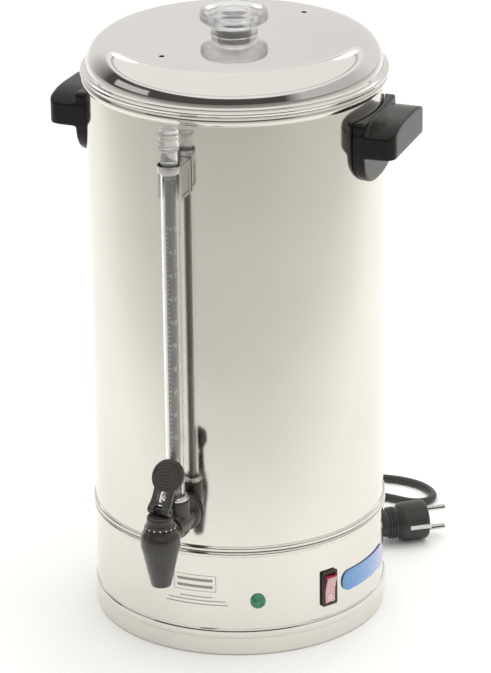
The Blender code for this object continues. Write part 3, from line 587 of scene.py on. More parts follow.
def make_cord():
    """The cord as one smooth curve, with its strain relief and its plug."""
    points = cord_points()
    curve = bpy.data.curves.new("mains_cord", "CURVE")
    curve.dimensions = "3D"
    curve.bevel_depth = CORD_D / 2 * MM
    curve.bevel_resolution = 6
    curve.resolution_u = 6
    curve.use_fill_caps = True
    spline = curve.splines.new("BEZIER")
    spline.bezier_points.add(len(points) - 1)
    for index, knot in enumerate(spline.bezier_points):
        here = points[index]
        before = points[max(index - 1, 0)]
        after = points[min(index + 1, len(points) - 1)]
        along = (after - before).normalized()
        knot.handle_left_type = knot.handle_right_type = "FREE"
        knot.co = here * MM
        knot.handle_left = (here - along * (here - before).length / 3) * MM
        knot.handle_right = (here + along * (after - here).length / 3) * MM
    curve.materials.append(MATERIALS["cord_black"])
    cord = bpy.data.objects.new("mains_cord", curve)
    bpy.context.collection.objects.link(cord)
    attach(cord, "urn")
    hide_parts("cord_to_coil", "cord_coil", "cord_to_plug")

    relief = [(3.7, 115), (6.0, 115), (6.0, 125.4), (8.3, 125.6), (8.5, 126.2), (8.5, 128.0),
              (7.4, 129.0)]
    for index in range(6):
        low = 129.6 + 3.5 * index
        wide = 6.3 - 0.28 * index
        relief += [(wide, low), (wide, low + 2.2), (wide - 0.9, low + 2.5), (wide - 0.95, low + 3.2)]
    relief += [(4.4, 150.4), (3.7, GLAND_END_R)]
    piece("cord_relief", turned(front(lathe(relief, 48), GLAND_Z), GLAND_AZIMUTH), "gland_black",
          "urn", ["cord_gland"])

    along = PLUG_DIRECTION
    across = Vector((0, 0, 1)).cross(along)
    place = Matrix.Translation(PLUG_REAR) @ Matrix((
        (across.x, 0, along.x, 0), (across.y, 0, along.y, 0), (0, 1, 0, 0), (0, 0, 0, 1)))
    profile = [(0, 0.4), (4.6, 0.4), (5.2, 1.0), (8.6, 2.2), (11.6, 6.5), (12.4, 10), (12.9, 21),
               (16.2, 24.2), (17.5, 26.6), (17.6, 46.8), (16.6, 48.9), (15.0, 49.0), (0, 49.0)]
    body = lathe(rounded(profile, 1.0, 3), FINE, closed=False)
    grooves = []
    for index in range(5):
        low = 9.2 + 2.3 * index
        groove = [(11.9, low), (14.5, low - 0.2), (14.5, low + 1.2), (11.9, low + 1.0)]
        grooves.append(("DIFFERENCE", lathe(groove, FINE)))
    for sign in (-1, 1):
        edges = sorted((sign * 15.9, sign * 20.0))
        outline = [(edges[0], -2.4), (edges[1], -2.4), (edges[1], 2.4), (edges[0], 2.4)]
        grooves.append(("DIFFERENCE", prism(outline, 30, 60)))
    for height in (-9.5, 9.5):
        grooves.append(("DIFFERENCE", shifted(cylinder(2.9, 47.5, 60, 32), y=height)))
    shape = solid(body, *grooves)
    shape.transform(place)
    plug = piece("plug_shell", shape, "cord_black", "urn", ["plug_body"])


make_cord()


# ---------------------------------------------------------------- body and lid

SEAM_Z = 96.0
FLOOR_Z = 105.0
RIM_Z = 481.5
LID_TOP_Z = 514.0
LID_CORNER_R = 24.0
VENT_R = 84.0
VENT_AZIMUTH = -23.6
WELL_HOLE_R = 16.3
LAMP_AZIMUTH = 28.0
LAMP_Z = 50.3
SWITCH_AZIMUTH = 58.1
SWITCH_Z = 51.0
TAP_R = 181.0
TAP_Z = 131.0
GAUGE_R = 147.0


def make_body():
    """The base skirt and the tank wall, with their rolled beads and the tank's wired rim."""
    skirt = [(124.3, 0), (125, 0.7), (BODY_R, 15.2)] + bead(BODY_R, 15.6, 24.6, 1.9)
    skirt += [(BODY_R, 25.0), (BODY_R, 90.6)]
    skirt += bead(BODY_R, 91.0, SEAM_Z - 0.25, 1.8)
    skirt += [(INNER_R, SEAM_Z - 0.25), (INNER_R, 6.5), (106, 6.5), (106, 5), (INNER_R, 5), (INNER_R, 0)]
    holes = [
        turned(front(cylinder(5.2, 115, 130), LAMP_Z), LAMP_AZIMUTH),
        turned(front(prism(rounded_rectangle(13.2, 29.4, 1.0), 115, 130), SWITCH_Z), SWITCH_AZIMUTH),
        turned(front(cylinder(6.4, 115, 130), GLAND_Z), GLAND_AZIMUTH),
    ]
    shape = solid(lathe(skirt, ROUND), ("DIFFERENCE", merged(*holes)))
    piece("base_skirt", shape, "steel", "urn", ["base_shell"], 28)

    wall = bead(BODY_R, SEAM_Z + 0.15, 101.0, 1.8)
    wall += [(BODY_R, 101.4), (BODY_R, 472.2)]
    wall += rounded([(BODY_R, 472.6), (127.1, 474.3), (128.3, 477), (128.1, 479.6), (126.4, RIM_Z),
                     (124.6, RIM_Z), (INNER_R, 480.2)], 1.2)
    wall += [(INNER_R, 114)] + arc((114.5, 114), 9.0, 0, -90, 8) + [(WELL_HOLE_R, FLOOR_Z),
             (WELL_HOLE_R, FLOOR_Z - WALL), (114, FLOOR_Z - WALL), (122.6, 106), (INNER_R, 106),
             (INNER_R, SEAM_Z + 0.15)]
    shape = solid(lathe(wall, ROUND), ("DIFFERENCE", front(cylinder(10.4, 115, 130), TAP_Z)))
    piece("tank_wall", shape, "steel", "urn", ["tank_shell"], 28)


def make_lid():
    """The lid with its rolled edge and two vents, and the clear knob."""
    centre = (BODY_R - 0.5 - LID_CORNER_R, LID_TOP_Z - 1.5 - LID_CORNER_R)
    profile = [(17.5, LID_TOP_Z - 0.1), (40, LID_TOP_Z - 0.3), (70, LID_TOP_Z - 0.75)]
    profile += arc(centre, LID_CORNER_R, 88, 0, 24)
    profile += [(124.6, 489.0)] + rounded([(124.6, 488.6), (126.4, 487.6), (126.2, 486.3), (128.6, 486.0),
                                           (129.5, 484.2), (128.7, 482.2), (126.5, RIM_Z + 0.35)], 0.8)
    profile += [(123.0, RIM_Z + 0.35), (123.0, 470.2), (121.8, 470.2), (121.8, 484)]
    profile += arc(centre, LID_CORNER_R - WALL, 0, 88, 16)
    profile += [(40, LID_TOP_Z - WALL - 0.3), (17.5, LID_TOP_Z - WALL)]
    vents = []
    for azimuth in (VENT_AZIMUTH, VENT_AZIMUTH + 180):
        spot = direction(azimuth) * VENT_R
        vents.append(shifted(cylinder(2.5, 500, 520, 24), spot.x, spot.y))
    shape = solid(lathe(profile, ROUND), ("DIFFERENCE", merged(*vents)))
    piece("lid_cover", shape, "lid_steel", "lid", ["lid_shell"], 28)

    outside = [(19.6, LID_TOP_Z + 0.3), (19.2, 518.6), (20.2, 521.6), (26.0, 523.8), (28.3, 526.0),
               (28.6, 531.4), (27.7, 534.2), (24.5, 535.6), (0, 536.6)]
    inside = [(0, 532.0), (9, 531.2), (14.5, 527), (14.5, 503), (17.1, 503), (17.1, LID_TOP_Z + 0.3)]
    shape = lathe(rounded(inside, 1.0) + rounded(outside, 1.2), 96, closed=False)
    piece("knob_crown", shape, "clear_plastic", "lid", ["lid_knob"], 40)
    # a thin dark sleeve lining the clear knob's bore, which makes the knob's waist look dark
    core = [(13.4, 504), (14.3, 504), (14.3, 519.5), (13.8, 520.5), (13.4, 520.5)]
    piece("knob_dark_sleeve", lathe(core, FINE), "black_steel", "lid")


make_body()
make_lid()


# ---------------------------------------------------------------- handles

HANDLE_AZIMUTH = 91.5
HANDLE_HALF_WIDTH = 44.0
HANDLE_REACH = 153.5
HANDLE_PLATE_R = 127.5
HANDLE_CORNER_R = 9.0
HANDLE_LOW_Z = 430.0
HANDLE_SIDE_Z = 449.5
HANDLE_CREST_Z = 458.0
HANDLE_LIP_Z = 460.0
HANDLE_TIP_Z = 401.0


def make_handle(name, side, node):
    """One bakelite handle: an arched grip on a thin plate, with every edge rounded."""
    half = HANDLE_HALF_WIDTH
    outline = [(half, -100), (-half, -100)]
    outline += [(x, -y) for x, y in arc((HANDLE_CORNER_R - half, HANDLE_REACH - HANDLE_CORNER_R),
                                        HANDLE_CORNER_R, 180, 90)]
    outline += [(x, -y) for x, y in arc((half - HANDLE_CORNER_R, HANDLE_REACH - HANDLE_CORNER_R),
                                        HANDLE_CORNER_R, 90, 0)]
    arch = [(-half, HANDLE_LOW_Z), (half, HANDLE_LOW_Z)]
    for step in range(41):
        across = math.cos(math.pi * step / 40)
        rise = (HANDLE_CREST_Z - HANDLE_SIDE_Z) * (1 - abs(across) ** 3.5)
        arch.append((half * across, HANDLE_SIDE_Z + rise))
    wide = half - 0.3
    plate = [(wide, HANDLE_LIP_Z - 2), (wide - 2, HANDLE_LIP_Z), (2 - wide, HANDLE_LIP_Z),
             (-wide, HANDLE_LIP_Z - 2)]
    for step in range(41):
        across = math.cos(math.pi + math.pi * step / 40)
        drop = (1 - abs(across) ** 2.4) ** (1 / 2.4)
        plate.append((wide * across, HANDLE_LOW_Z - (HANDLE_LOW_Z - HANDLE_TIP_Z) * drop))
    shape = solid(
        prism(outline, HANDLE_LOW_Z, HANDLE_LIP_Z),
        ("INTERSECT", front(prism(arch, 90, HANDLE_REACH + 5))),
        ("UNION", front(prism(plate, 100, HANDLE_PLATE_R + 0.3))),
        ("DIFFERENCE", cylinder(BODY_R + 0.2, 380, 475, ROUND)),
    )
    shape = softened(shape, 0.8, 24)
    piece(name, turned(shape, side), "bakelite", "urn", [node], 180)


make_handle("left_grip", -HANDLE_AZIMUTH, "handle_left")
make_handle("right_grip", HANDLE_AZIMUTH, "handle_right")


# ---------------------------------------------------------------- gauge

GAUGE_TUBE_R = 8.0
GAUGE_LOW_Z = 140.5
GAUGE_TOP_Z = 446.5
SCALE_ZERO_Z = 107.0
LITRE_RISE = 20.4
INSERT_R = 4.2


def wrapped(shapes, radius, centre_y):
    """Flat marks in the x and z plane, wrapped round a tube's front."""
    for vertex in shapes.verts:
        angle = vertex.co.x / radius
        reach = radius + vertex.co.y
        vertex.co = Vector((reach * math.sin(angle), centre_y - reach * math.cos(angle), vertex.co.z))
    return shapes


def flat_bar(x_low, x_high, z_low, z_high, thick):
    """A thin bar facing the front, cut into columns so that it can be wrapped round a tube."""
    bm = bmesh.new()
    columns = 5
    rows = []
    for step in range(columns):
        x = x_low + (x_high - x_low) * step / (columns - 1)
        section = ((0, z_low), (thick, z_low), (thick, z_high), (0, z_high))
        rows.append([bm.verts.new((x, y, z)) for y, z in section])
    for first, second in zip(rows, rows[1:]):
        for i in range(4):
            j = (i + 1) % 4
            bm.faces.new((first[i], first[j], second[j], second[i]))
    bm.faces.new(rows[0])
    bm.faces.new(rows[-1])
    return bm


def number_shape(text, height, thick):
    """A raised number in the x and z plane, centred on x, standing on z = 0."""
    curve = bpy.data.curves.new("number", "FONT")
    curve.body = text
    curve.size = height * 1.4
    curve.extrude = thick / 2
    curve.align_x = "CENTER"
    curve.resolution_u = 3
    item = bpy.data.objects.new("number", curve)
    bpy.context.collection.objects.link(item)
    graph = bpy.context.evaluated_depsgraph_get()
    graph.update()
    bm = bmesh.new()
    evaluated = item.evaluated_get(graph)
    bm.from_mesh(evaluated.to_mesh())
    evaluated.to_mesh_clear()
    bpy.data.objects.remove(item, do_unlink=True)
    bpy.data.curves.remove(curve)
    bm.transform(Matrix.Translation((0, thick / 2, 0)) @ Matrix.Rotation(math.radians(90), 4, "X"))
    return bm


def make_gauge():
    """The sight glass with its litre scale, the clear plug on top, the clip and the ferrule."""
    tube = [(GAUGE_TUBE_R - 2, GAUGE_LOW_Z), (GAUGE_TUBE_R, GAUGE_LOW_Z), (GAUGE_TUBE_R, GAUGE_TOP_Z),
            (GAUGE_TUBE_R - 2, GAUGE_TOP_Z)]
    piece("sight_glass", shifted(lathe(tube, FINE), y=-GAUGE_R), "glass", "urn", ["gauge_tube"])

    marks = []
    for fifths in range(15, 71):
        z = SCALE_ZERO_Z + LITRE_RISE * fifths / 5
        whole = fifths % 5 == 0
        marks.append(flat_bar(-3.2, -0.5 if whole else -1.7, z - 0.35, z + 0.35, 0.12))
        if whole:
            number = number_shape(str(fifths // 5), 4.4, 0.12)
            marks.append(shifted(number, x=2.0, z=z - 2.2))
    shape = turned(wrapped(merged(*marks), INSERT_R, 0), VIEW_AZIMUTH)
    piece("scale_marks", shifted(shape, y=-GAUGE_R), "print_white", "urn")
    insert = cylinder(INSERT_R, 152.5, 434, 40, 0.6)
    piece("scale_insert", shifted(insert, y=-GAUGE_R), "scale_grey", "urn")

    cap = [(0, 436), (5.6, 436), (5.6, GAUGE_TOP_Z + 0.4), (7.2, GAUGE_TOP_Z + 0.4), (7.0, 458.2),
           (8.5, 458.8), (8.8, 460.5), (8.8, 466), (8.2, 467), (8.2, 469), (8.8, 470), (8.7, 474.4),
           (7.4, 476.6), (0, 477)]
    piece("gauge_stopper", shifted(lathe(rounded(cap, 0.7), 48, closed=False), y=-GAUGE_R), "clear_plastic",
          "urn", ["gauge_plug"], 40)

    low, high = 416.0, 446.0
    half = GAUGE_TUBE_R + 2.2
    outline = [(-half, -BODY_R - 0.5), (-half, -GAUGE_R), (half, -GAUGE_R), (half, -BODY_R - 0.5)]
    inner = [(-half + 1.3, -BODY_R - 2.2), (-half + 1.3, -GAUGE_R - 20), (half - 1.3, -GAUGE_R - 20),
             (half - 1.3, -BODY_R - 2.2)]
    panels = []
    for sign in (-1, 1):
        edges = sorted((sign * (half - 0.8), sign * (half + 2)))
        panel = [(edges[0], -GAUGE_R + 3), (edges[1], -GAUGE_R + 3),
                 (edges[1], -BODY_R - 4), (edges[0], -BODY_R - 4)]
        panels.append(prism(panel, low + 3, high - 9))
    shape = solid(
        prism(outline, low, high, 0.4, 2),
        ("UNION", shifted(cylinder(half, high - 6, high, FINE, 0.5), y=-GAUGE_R)),
        ("DIFFERENCE", prism(inner, low - 5, high - 6)),
        ("DIFFERENCE", shifted(cylinder(GAUGE_TUBE_R + 0.5, low - 5, high + 5, FINE), y=-GAUGE_R)),
        ("DIFFERENCE", merged(*panels)),
    )
    piece("clip_bracket", shape, "chrome", "urn", ["gauge_clip"])

    ferrule = [(8.4, 152.2), (11.4, 152.2), (11.6, 152.8), (11.5, 154.4), (10.4, 155.6), (8.4, 155.6)]
    piece("foot_ferrule", shifted(lathe(rounded(ferrule, 0.4), FINE), y=-GAUGE_R), "chrome", "urn",
          ["gauge_ferrule"])


make_gauge()


# ---------------------------------------------------------------- tap

SPOUT_Z = 88.0
LEVER_PIVOT_Z = 155.5
LEVER_LEAN = -30.0
LEVER_TURN = -10.0
THUMB_R = 14.5
THUMB_Z = 28.5


def make_tap():
    """Shank with its gauge socket, valve body with the spout, and the grooved bonnet."""
    shank = [(0, 104), (9.9, 104), (9.9, 128.4), (15, 128.4), (15.2, 129.2), (15.2, 131.4), (14.6, 132.6),
             (12.7, 134), (12.5, 163.8), (6.9, 163.8), (6.9, 169.8), (0, 169.8)]
    socket = [(0, TAP_Z - 13.2), (8, TAP_Z - 12.8), (12, TAP_Z - 8), (12, 151), (11.4, 152), (0, 152)]
    rib = prism(rounded_rectangle(3.0, 15, 1.2), -12.6, 12.6, 0.6)
    riser = [(0, TAP_Z), (4, TAP_Z), (4, 140.2), (9.6, 140.2), (9.6, 160), (0, 160)]
    shape = solid(
        front(lathe(rounded(shank, 0.5), FINE, closed=False), TAP_Z),
        ("UNION", shifted(lathe(rounded(socket, 1.2), FINE, closed=False), y=-GAUGE_R)),
        ("UNION", shifted(turned(rib, 90, "Y"), y=-156, z=TAP_Z)),
        ("DIFFERENCE", front(cylinder(5.2, 95, 180), TAP_Z)),
        ("DIFFERENCE", shifted(lathe(riser, 48, closed=False), y=-GAUGE_R)),
    )
    piece("tap_shank_elbow", shape, "black_plastic", "urn", ["tap_shank"])

    outer = [(6.6, SPOUT_Z), (8.2, SPOUT_Z), (8.6, SPOUT_Z + 0.6), (15.4, 119.6), (16.3, 122.5),
             (16.6, 126), (16.5, 131.4), (15.6, 134.6), (13.9, 137.4), (13.4, 139.6), (10.8, 139.8),
             (10.8, 108), (6.6, 106)]
    shape = solid(
        shifted(lathe(outer, FINE), y=-TAP_R),
        ("UNION", front(cylinder(12, TAP_R - 16.8, TAP_R - 13.2, FINE), TAP_Z - 2)),
        ("DIFFERENCE", front(cylinder(7.3, 150, TAP_R - 9, 48), TAP_Z)),
    )
    piece("tap_spout_body", shape, "black_plastic", "urn", ["tap_body"])

    bonnet = [(3.7, 134), (10.4, 134), (10.4, 140.1), (12.8, 140.1), (13.0, 140.8), (12.6, 141.9),
              (11.5, 142.6), (11.3, 144.6), (10.9, 145.0), (10.9, 145.6), (11.3, 146.0), (11.2, 148.6),
              (10.9, 149.8), (10.0, 150.8), (3.7, 151)]
    shape = lathe(rounded(bonnet, 0.3, 2), 96)
    piece("tap_cap", shifted(shape, y=-TAP_R), "black_plastic", "urn", ["tap_bonnet"], 40)
    studs = []
    for index in range(16):
        spot = direction(360 * index / 16) * 12.6
        stud = lathe(arc((0, 0), 1.0, -90, 90, 8), 12, closed=False)
        studs.append(shifted(stud, spot.x, spot.y, 141.2))
    piece("cap_studs", shifted(merged(*studs), y=-TAP_R), "chrome", "urn", sharp=60)


SPRING_R = 5.4
SPRING_WIRE_R = 0.6
SPRING_LOW_Z = 117.2
SPRING_HIGH_Z = 132.8
SPRING_TURNS = 3.75


def make_spring():
    """The tap's return spring as a fixed coil with a mesh of its own; on the real tap it shortens against
    the bonnet as the stem rises.
    """
    bm = bmesh.new()
    rings = []
    steps = 120
    for step in range(steps + 1):
        angle = 2 * math.pi * SPRING_TURNS * step / steps
        middle = Vector((math.cos(angle), math.sin(angle), 0))
        height = SPRING_LOW_Z + (SPRING_HIGH_Z - SPRING_LOW_Z) * step / steps
        ring = []
        for k in range(10):
            turn = 2 * math.pi * k / 10
            reach = SPRING_R + SPRING_WIRE_R * math.cos(turn)
            rise = height + SPRING_WIRE_R * math.sin(turn)
            ring.append(bm.verts.new(middle * reach + Vector((0, 0, rise))))
        rings.append(ring)
    for first, second in zip(rings, rings[1:]):
        for i in range(10):
            j = (i + 1) % 10
            bm.faces.new((first[i], first[j], second[j], second[i]))
    bm.faces.new(rings[0])
    bm.faces.new(rings[-1])
    coil = piece("spring_coil", shifted(bm, y=-TAP_R), "zinc", "urn", ["tap_spring"])
    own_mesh(coil)


def lever_place():
    return (Matrix.Translation((0, -TAP_R, LEVER_PIVOT_Z))
            @ Matrix.Rotation(math.radians(LEVER_TURN), 4, "Z")
            @ Matrix.Rotation(math.radians(LEVER_LEAN), 4, "X"))


def rib_bar(points, radius):
    """A half-sunk round rib along points in the x and z plane, closed at both ends."""
    bm = bmesh.new()
    rings = []
    count = len(points)
    for index, (x, z) in enumerate(points):
        thin = radius * min(1.0, 0.25 + min(index, count - 1 - index) * 0.35)
        ring = []
        for k in range(8):
            angle = 2 * math.pi * k / 8
            ring.append(bm.verts.new((x, -3.0 + thin * math.cos(angle), z + thin * math.sin(angle))))
        rings.append(ring)
    for first, second in zip(rings, rings[1:]):
        for i in range(8):
            j = (i + 1) % 8
            bm.faces.new((first[i], first[j], second[j], second[i]))
    bm.faces.new(rings[0])
    bm.faces.new(rings[-1])
    return bm


def make_lever():
    """The lever: a round thumb pad with curved ribs on a windowed arm, forked over the stem."""
    outline = [(-10, -3), (10, -3), (10, 3), (9.2, 9), (9.4, THUMB_Z - 11.2)]
    for step in range(49):
        angle = math.radians(-48 + 276 * step / 48)
        outline.append((THUMB_R * math.cos(angle), THUMB_Z + THUMB_R * math.sin(angle)))
    outline += [(-9.4, THUMB_Z - 11.2), (-9.2, 9), (-10, 3)]
    fork = front(prism([(-3.7, -8), (3.7, -8), (3.7, 4.2), (-3.7, 4.2)], -8, 8))
    window = front(prism([(x, z + 10.85) for x, z in rounded_rectangle(8, 9.3, 1.2)], -8, 8))
    dish = lathe([(0, 0), (11.4, 0), (12.2, 0.8), (12.2, 4), (0, 4)], FINE, closed=False)
    dish = shifted(front(dish), y=-2.3, z=THUMB_Z)
    shape = solid(
        front(prism(outline, -2, 3.1, 0.9)),
        ("DIFFERENCE", dish),
        ("UNION", front(prism([(-10, -2.6), (10, -2.6), (10, 3.4), (-10, 3.4)], -3.4, 3.6, 0.8))),
        ("UNION", turned(cylinder(4.2, -10, 10, 40, 0.8), 90, "Y")),
        ("DIFFERENCE", merged(fork, window)),
        ("DIFFERENCE", turned(cylinder(1.6, -15, 15, 24), 90, "Y")),
    )
    shape.transform(lever_place())
    piece("lever_arm", shape, "black_plastic", "tap_handle", ["tap_lever"])

    ribs = []
    for index in range(-4, 5):
        level = 2.55 * index
        half = math.sqrt(max(0.0, 11.6 ** 2 - level ** 2))
        points = []
        for step in range(13):
            x = half * (2 * step / 12 - 1)
            points.append((x, THUMB_Z + level + 1.3 - 0.020 * x * x))
        ribs.append(shifted(rib_bar(points, 0.75), y=0.65))
    for level in (-1.6, 0.3, 2.2):
        for sign in (-1, 1):
            points = [(sign * (4.3 + 5.1 * step / 6), level) for step in range(7)]
            ribs.append(shifted(rib_bar(points, 0.5), y=-0.5))
    shape = merged(*ribs)
    shape.transform(lever_place())
    piece("lever_ribs", shape, "black_plastic", "tap_handle")


make_tap()
make_spring()
make_lever()


# ---------------------------------------------------------------- lamp, switch, badge, prints

def curved_plate(azimuths, heights, radius, thick, corner=0.0, columns=40):
    """A thin plate on the base's wall, with rounded corners where corner is not zero."""
    bm = bmesh.new()
    start, end = (math.radians(a) * radius for a in azimuths)
    low, high = heights
    loops = []
    for step in range(columns + 1):
        along = start + (end - start) * (0.5 - 0.5 * math.cos(math.pi * step / columns))
        inset = 0.0
        for edge in (along - start, end - along):
            if edge < corner:
                inset = corner - math.sqrt(max(0.0, corner ** 2 - (corner - edge) ** 2))
        if high - low - 2 * inset < 0.2:
            inset = (high - low) / 2 - 0.1
        out = direction(math.degrees(along / radius))
        corners = ((radius, low + inset), (radius + thick, low + inset + 0.05),
                   (radius + thick, high - inset - 0.05), (radius, high - inset))
        loops.append([bm.verts.new(out * r + Vector((0, 0, z))) for r, z in corners])
    for first, second in zip(loops, loops[1:]):
        for i in range(4):
            j = (i + 1) % 4
            bm.faces.new((first[i], first[j], second[j], second[i]))
    bm.faces.new(loops[0])
    bm.faces.new(loops[-1])
    return bm


def make_controls():
    """Pilot lamp, rocker switch, plain badge and the plain printed panel on the base."""
    lens = [(0, 119), (4.8, 119), (4.8, 125.2), (6.5, 125.3), (6.6, 126.4), (6.0, 127.2), (5.4, 127.5),
            (5.1, 128.2), (4.2, 128.6), (3.9, 128.4), (3.2, 128.9), (2.8, 128.7), (2.0, 129.1),
            (1.6, 128.9), (0, 129.2)]
    shape = turned(front(lathe(lens, 48, closed=False), LAMP_Z), LAMP_AZIMUTH)
    piece("lamp_dome", shape, "green_lens", "urn", ["lamp_lens"], 50)

    rim = prism(rounded_rectangle(16, 32, 1.6), BODY_R + 0.5, BODY_R + 2.6, 0.5)
    well = prism([(-5.6, -13.7), (5.6, -13.7), (5.6, 13.7), (-5.6, 13.7)], 115, BODY_R + 9)
    shape = solid(
        front(rim, SWITCH_Z),
        ("UNION", front(prism(rounded_rectangle(12.6, 28.8, 1.0), 104, BODY_R + 1), SWITCH_Z)),
        ("DIFFERENCE", front(well, SWITCH_Z)),
    )
    piece("switch_bezel", turned(shape, SWITCH_AZIMUTH), "dark_plastic", "urn", ["switch_frame"])

    face = [(12.6, 5.2), (11.6, 5.5), (6.0, 4.5), (0, 3.9), (-6.0, 4.5), (-11.6, 5.5), (-12.6, 5.2),
            (-12.2, -1), (0, -5), (12.2, -1)]
    rocker = prism(face, -5.3, 5.3, 0.4, 2)
    bar = prism(rounded_rectangle(0.9, 4.4, 0.4), -0.3, 0.12)
    ring = lathe([(1.5, -0.3), (2.3, -0.3), (2.3, 0.12), (1.5, 0.12)], 32)
    pivot = direction(SWITCH_AZIMUTH) * (BODY_R - 1.0) + Vector((0, 0, SWITCH_Z))
    place = (Matrix.Translation(pivot) @ Matrix.Rotation(math.radians(SWITCH_AZIMUTH), 4, "Z")
             @ Matrix.Rotation(math.radians(8), 4, "X"))
    rocker.transform(Matrix(((0, 0, 1, 0), (0, -1, 0, 0), (1, 0, 0, 0), (0, 0, 0, 1))))
    rocker.transform(place)
    piece("rocker_key", rocker, "red_rocker", "rocker", ["switch_rocker"], 25)
    for shape, level, tilt in ((bar, 7.6, 100), (ring, -7.6, 80)):
        tipped = Matrix.Rotation(math.radians(tilt), 4, "X")
        shape.transform(place @ Matrix.Translation((0, -4.8, level)) @ tipped)
    piece("rocker_marks", merged(bar, ring), "print_white", "rocker")

    piece("badge_plate", curved_plate((65, 100), (41.5, 60), BODY_R + 0.5, 0.8, 8.5), "badge_blue", "urn",
          ["badge"])

    edge = BODY_R + 0.02
    bars = []
    left, right, low, high, line = -5.5, 11.8, 58.0, 73.0, 0.5
    thin = math.degrees(line / BODY_R)
    bars.append(curved_plate((left, right), (low, low + line), edge, 0.08))
    bars.append(curved_plate((left, right), (high - line, high), edge, 0.08))
    bars.append(curved_plate((left, left + thin), (low + line, high - line), edge, 0.08, columns=2))
    bars.append(curved_plate((right - thin, right), (low + line, high - line), edge, 0.08, columns=2))
    bars.append(curved_plate((left + 1.4, right - 1.4), (67.2, 69.8), edge, 0.08))
    bars.append(curved_plate((left + 1.4, right - 1.4), (61.2, 63.8), edge, 0.08))
    for index, inset in enumerate((6.0, 1.0, 0.0)):
        level = 52.5 - 3.4 * index
        bars.append(curved_plate((left - 3.5 + inset, right + 4.5 - inset), (level, level + 0.9),
                                 edge, 0.08))
    piece("plain_print", merged(*bars), "print_grey", "urn")


make_controls()


# ---------------------------------------------------------------- materials of the CAD pieces that stay

def dress_cad_nodes():
    special = {"tap_stem": "black_steel", "tap_pin": "black_steel"}
    for row in frame["record"]["subparts"]:
        item = frame["nodes"][row["node"]]
        material = MATERIALS[special.get(row["node"], row["material_slot"])]
        if not item.material_slots:
            item.data.materials.append(material)
        for place in item.material_slots:
            place.material = material


dress_cad_nodes()


# ---------------------------------------------------------------- floor and light

def make_floor():
    """A pale floor with painted light fall-off: its colour is whitest round the urn and greyer far in front
    of it, painted where the light falls off away from the urn.
    """
    bm = bmesh.new()
    bmesh.ops.create_grid(bm, x_segments=2, y_segments=2, size=6.0)
    floor = plain_object("studio_floor", shifted(bm, z=-0.0003))
    shade = Shade("floor_painted_falloff")
    angle = math.radians(VIEW_AZIMUTH)
    ahead = shade.node("ShaderNodeVectorMath", operation="DOT_PRODUCT")
    ahead.inputs[1].default_value = (math.sin(angle), -math.cos(angle), 0)
    distance = shade.node("ShaderNodeVectorMath", operation="LENGTH")
    shade.link(shade.place, ahead.inputs[0])
    shade.link(shade.place, distance.inputs[0])
    reach = shade.node("ShaderNodeMath", operation="ADD")
    shade.link(ahead.outputs["Value"], reach.inputs[0])
    shade.link(distance.outputs["Value"], reach.inputs[1])
    # painted shade: the colour darkens with distance in front of the urn in place of the light falling off
    # there
    grey = shade.ramp(shade.ranged(reach.outputs[0], 0.0, 1.0, 0.4, 5.6), (0.0, (1.0, 1.0, 1.0)),
                      (0.04, (0.97, 0.967, 0.96)), (0.125, (0.79, 0.78, 0.77)),
                      (0.205, (0.66, 0.645, 0.63)), (0.31, (0.61, 0.595, 0.575)),
                      (0.43, (0.58, 0.56, 0.54)), (0.60, (0.50, 0.485, 0.47)),
                      (0.80, (0.26, 0.25, 0.24)))
    shade.color(grey)
    shade.roughness(shade.ranged(shade.noise(40, 3), 0.55, 0.65))
    shade.bump(shade.noise(300, 2), 0.0001, 0.1)
    floor.data.materials.append(shade.material)


def area_light(name, place, target, size, power, color):
    data = bpy.data.lights.new(name, "AREA")
    data.shape = "RECTANGLE"
    data.size, data.size_y = size
    data.energy = power
    data.color = color
    light = bpy.data.objects.new(name, data)
    bpy.context.collection.objects.link(light)
    light.location = place
    light.visible_glossy = False
    light.rotation_euler = (Vector(target) - Vector(place)).to_track_quat("-Z", "Y").to_euler()


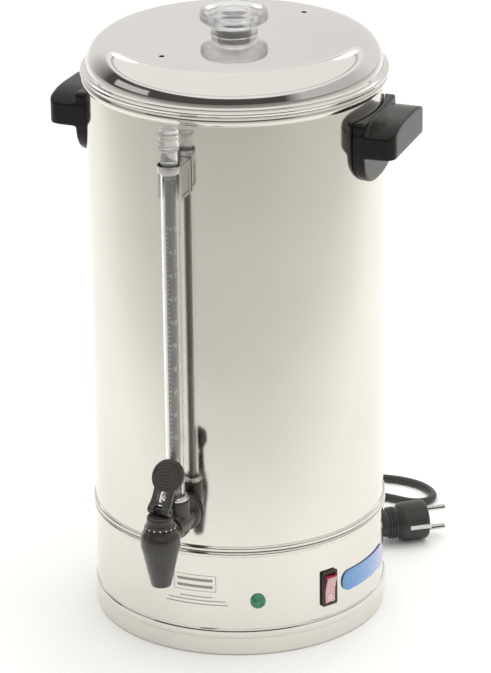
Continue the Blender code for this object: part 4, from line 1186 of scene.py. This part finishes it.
def make_world():
    """A pale room, dark at the photographer's end, with a grey screen and two bright lamps in it."""
    world = bpy.data.worlds.new("room")
    world.use_nodes = True
    nodes = Nodes(world.node_tree)
    background = nodes.tree.nodes["Background"]
    place = nodes.node("ShaderNodeTexCoord").outputs["Generated"]

    def feed(socket, value):
        if isinstance(value, float):
            socket.default_value = value
        else:
            nodes.link(value, socket)

    def component(axis):
        made = nodes.node("ShaderNodeVectorMath", operation="DOT_PRODUCT")
        made.inputs[1].default_value = axis
        nodes.link(place, made.inputs[0])
        return made.outputs["Value"]

    def combined(operation, *values):
        made = nodes.node("ShaderNodeMath", operation=operation)
        for socket, value in zip(made.inputs, values):
            feed(socket, value)
        return made.outputs[0]

    def ranged(source, start, end):
        made = nodes.node("ShaderNodeMapRange", interpolation_type="SMOOTHSTEP")
        feed(made.inputs["From Min"], start)
        feed(made.inputs["From Max"], end)
        nodes.link(source, made.inputs["Value"])
        return made.outputs["Result"]

    angle = math.radians(VIEW_AZIMUTH)
    height = component((0, 0, 1))
    ahead = component((math.sin(angle), -math.cos(angle), 0))
    aside = component((math.cos(angle), math.sin(angle), 0))
    round_turn = combined("MULTIPLY_ADD", combined("ARCTAN2", aside, ahead), 1 / (2 * math.pi), 0.5)

    def at(degrees):
        return degrees / 360 + 0.5

    grey = [(v, v * 0.985, v * 0.96) for v in (0.07, 0.55, 0.80)]
    sky = nodes.ramp(height, (0.0, (0.84, 0.82, 0.83)), (0.30, (0.93, 0.89, 0.90)),
                     (0.485, (0.93, 0.90, 0.90)), (0.505, (0.30, 0.29, 0.28)),
                     (0.525, (0.92, 0.91, 0.88)), (1.0, (0.90, 0.89, 0.83)))
    low = nodes.ramp(round_turn, (at(-150), grey[2]), (at(-112), grey[0]), (at(38), grey[0]),
                     (at(52), grey[1]), (at(100), grey[1]), (at(130), grey[2]))
    off_screen = combined("ABSOLUTE", combined("SUBTRACT", round_turn, at(-86)))
    screen = combined("MULTIPLY", ranged(off_screen, 17.5 / 360, 16.5 / 360), ranged(height, 0.0, 0.01))
    screen = combined("MULTIPLY", screen, ranged(height, 0.28, 0.27))
    low = nodes.blend(screen, low, grey[1])
    edge = nodes.ramp(round_turn, (at(-130), (0.40,) * 3), (at(-70), (0.39,) * 3), (at(-20), (0.31,) * 3),
                      (at(30), (0.31,) * 3), (at(90), (0.38,) * 3))
    over = combined("ADD", edge, 0.05)
    room = nodes.blend(ranged(height, edge, over), low, sky)
    for azimuth, rise in ((-161, 0.53), (160, 0.53)):
        turn = math.radians(azimuth) + angle
        flat = math.sqrt(1 - rise ** 2)
        spot = component((flat * math.sin(turn), -flat * math.cos(turn), rise))
        room = nodes.blend(ranged(spot, 0.9955, 0.9975), room, (3.0, 2.97, 2.94))
    nodes.link(room, background.inputs["Color"])
    background.inputs["Strength"].default_value = 1.02
    bpy.context.scene.world = world


def make_light():
    area_light("top_soft", (0.2, 0.2, 2.4), (0, 0, 0.2), (2.6, 2.6), 27, (1.0, 0.99, 0.98))
    area_light("left_soft", (-1.9, -1.2, 1.5), (0, 0, 0.3), (0.9, 1.6), 4, (1.0, 0.98, 0.96))
    area_light("right_soft", (2.0, -0.4, 1.6), (0, 0, 0.3), (0.9, 1.6), 4, (0.98, 0.99, 1.0))


make_floor()
make_world()
make_light()
bpy.context.scene.view_settings.view_transform = "Standard"
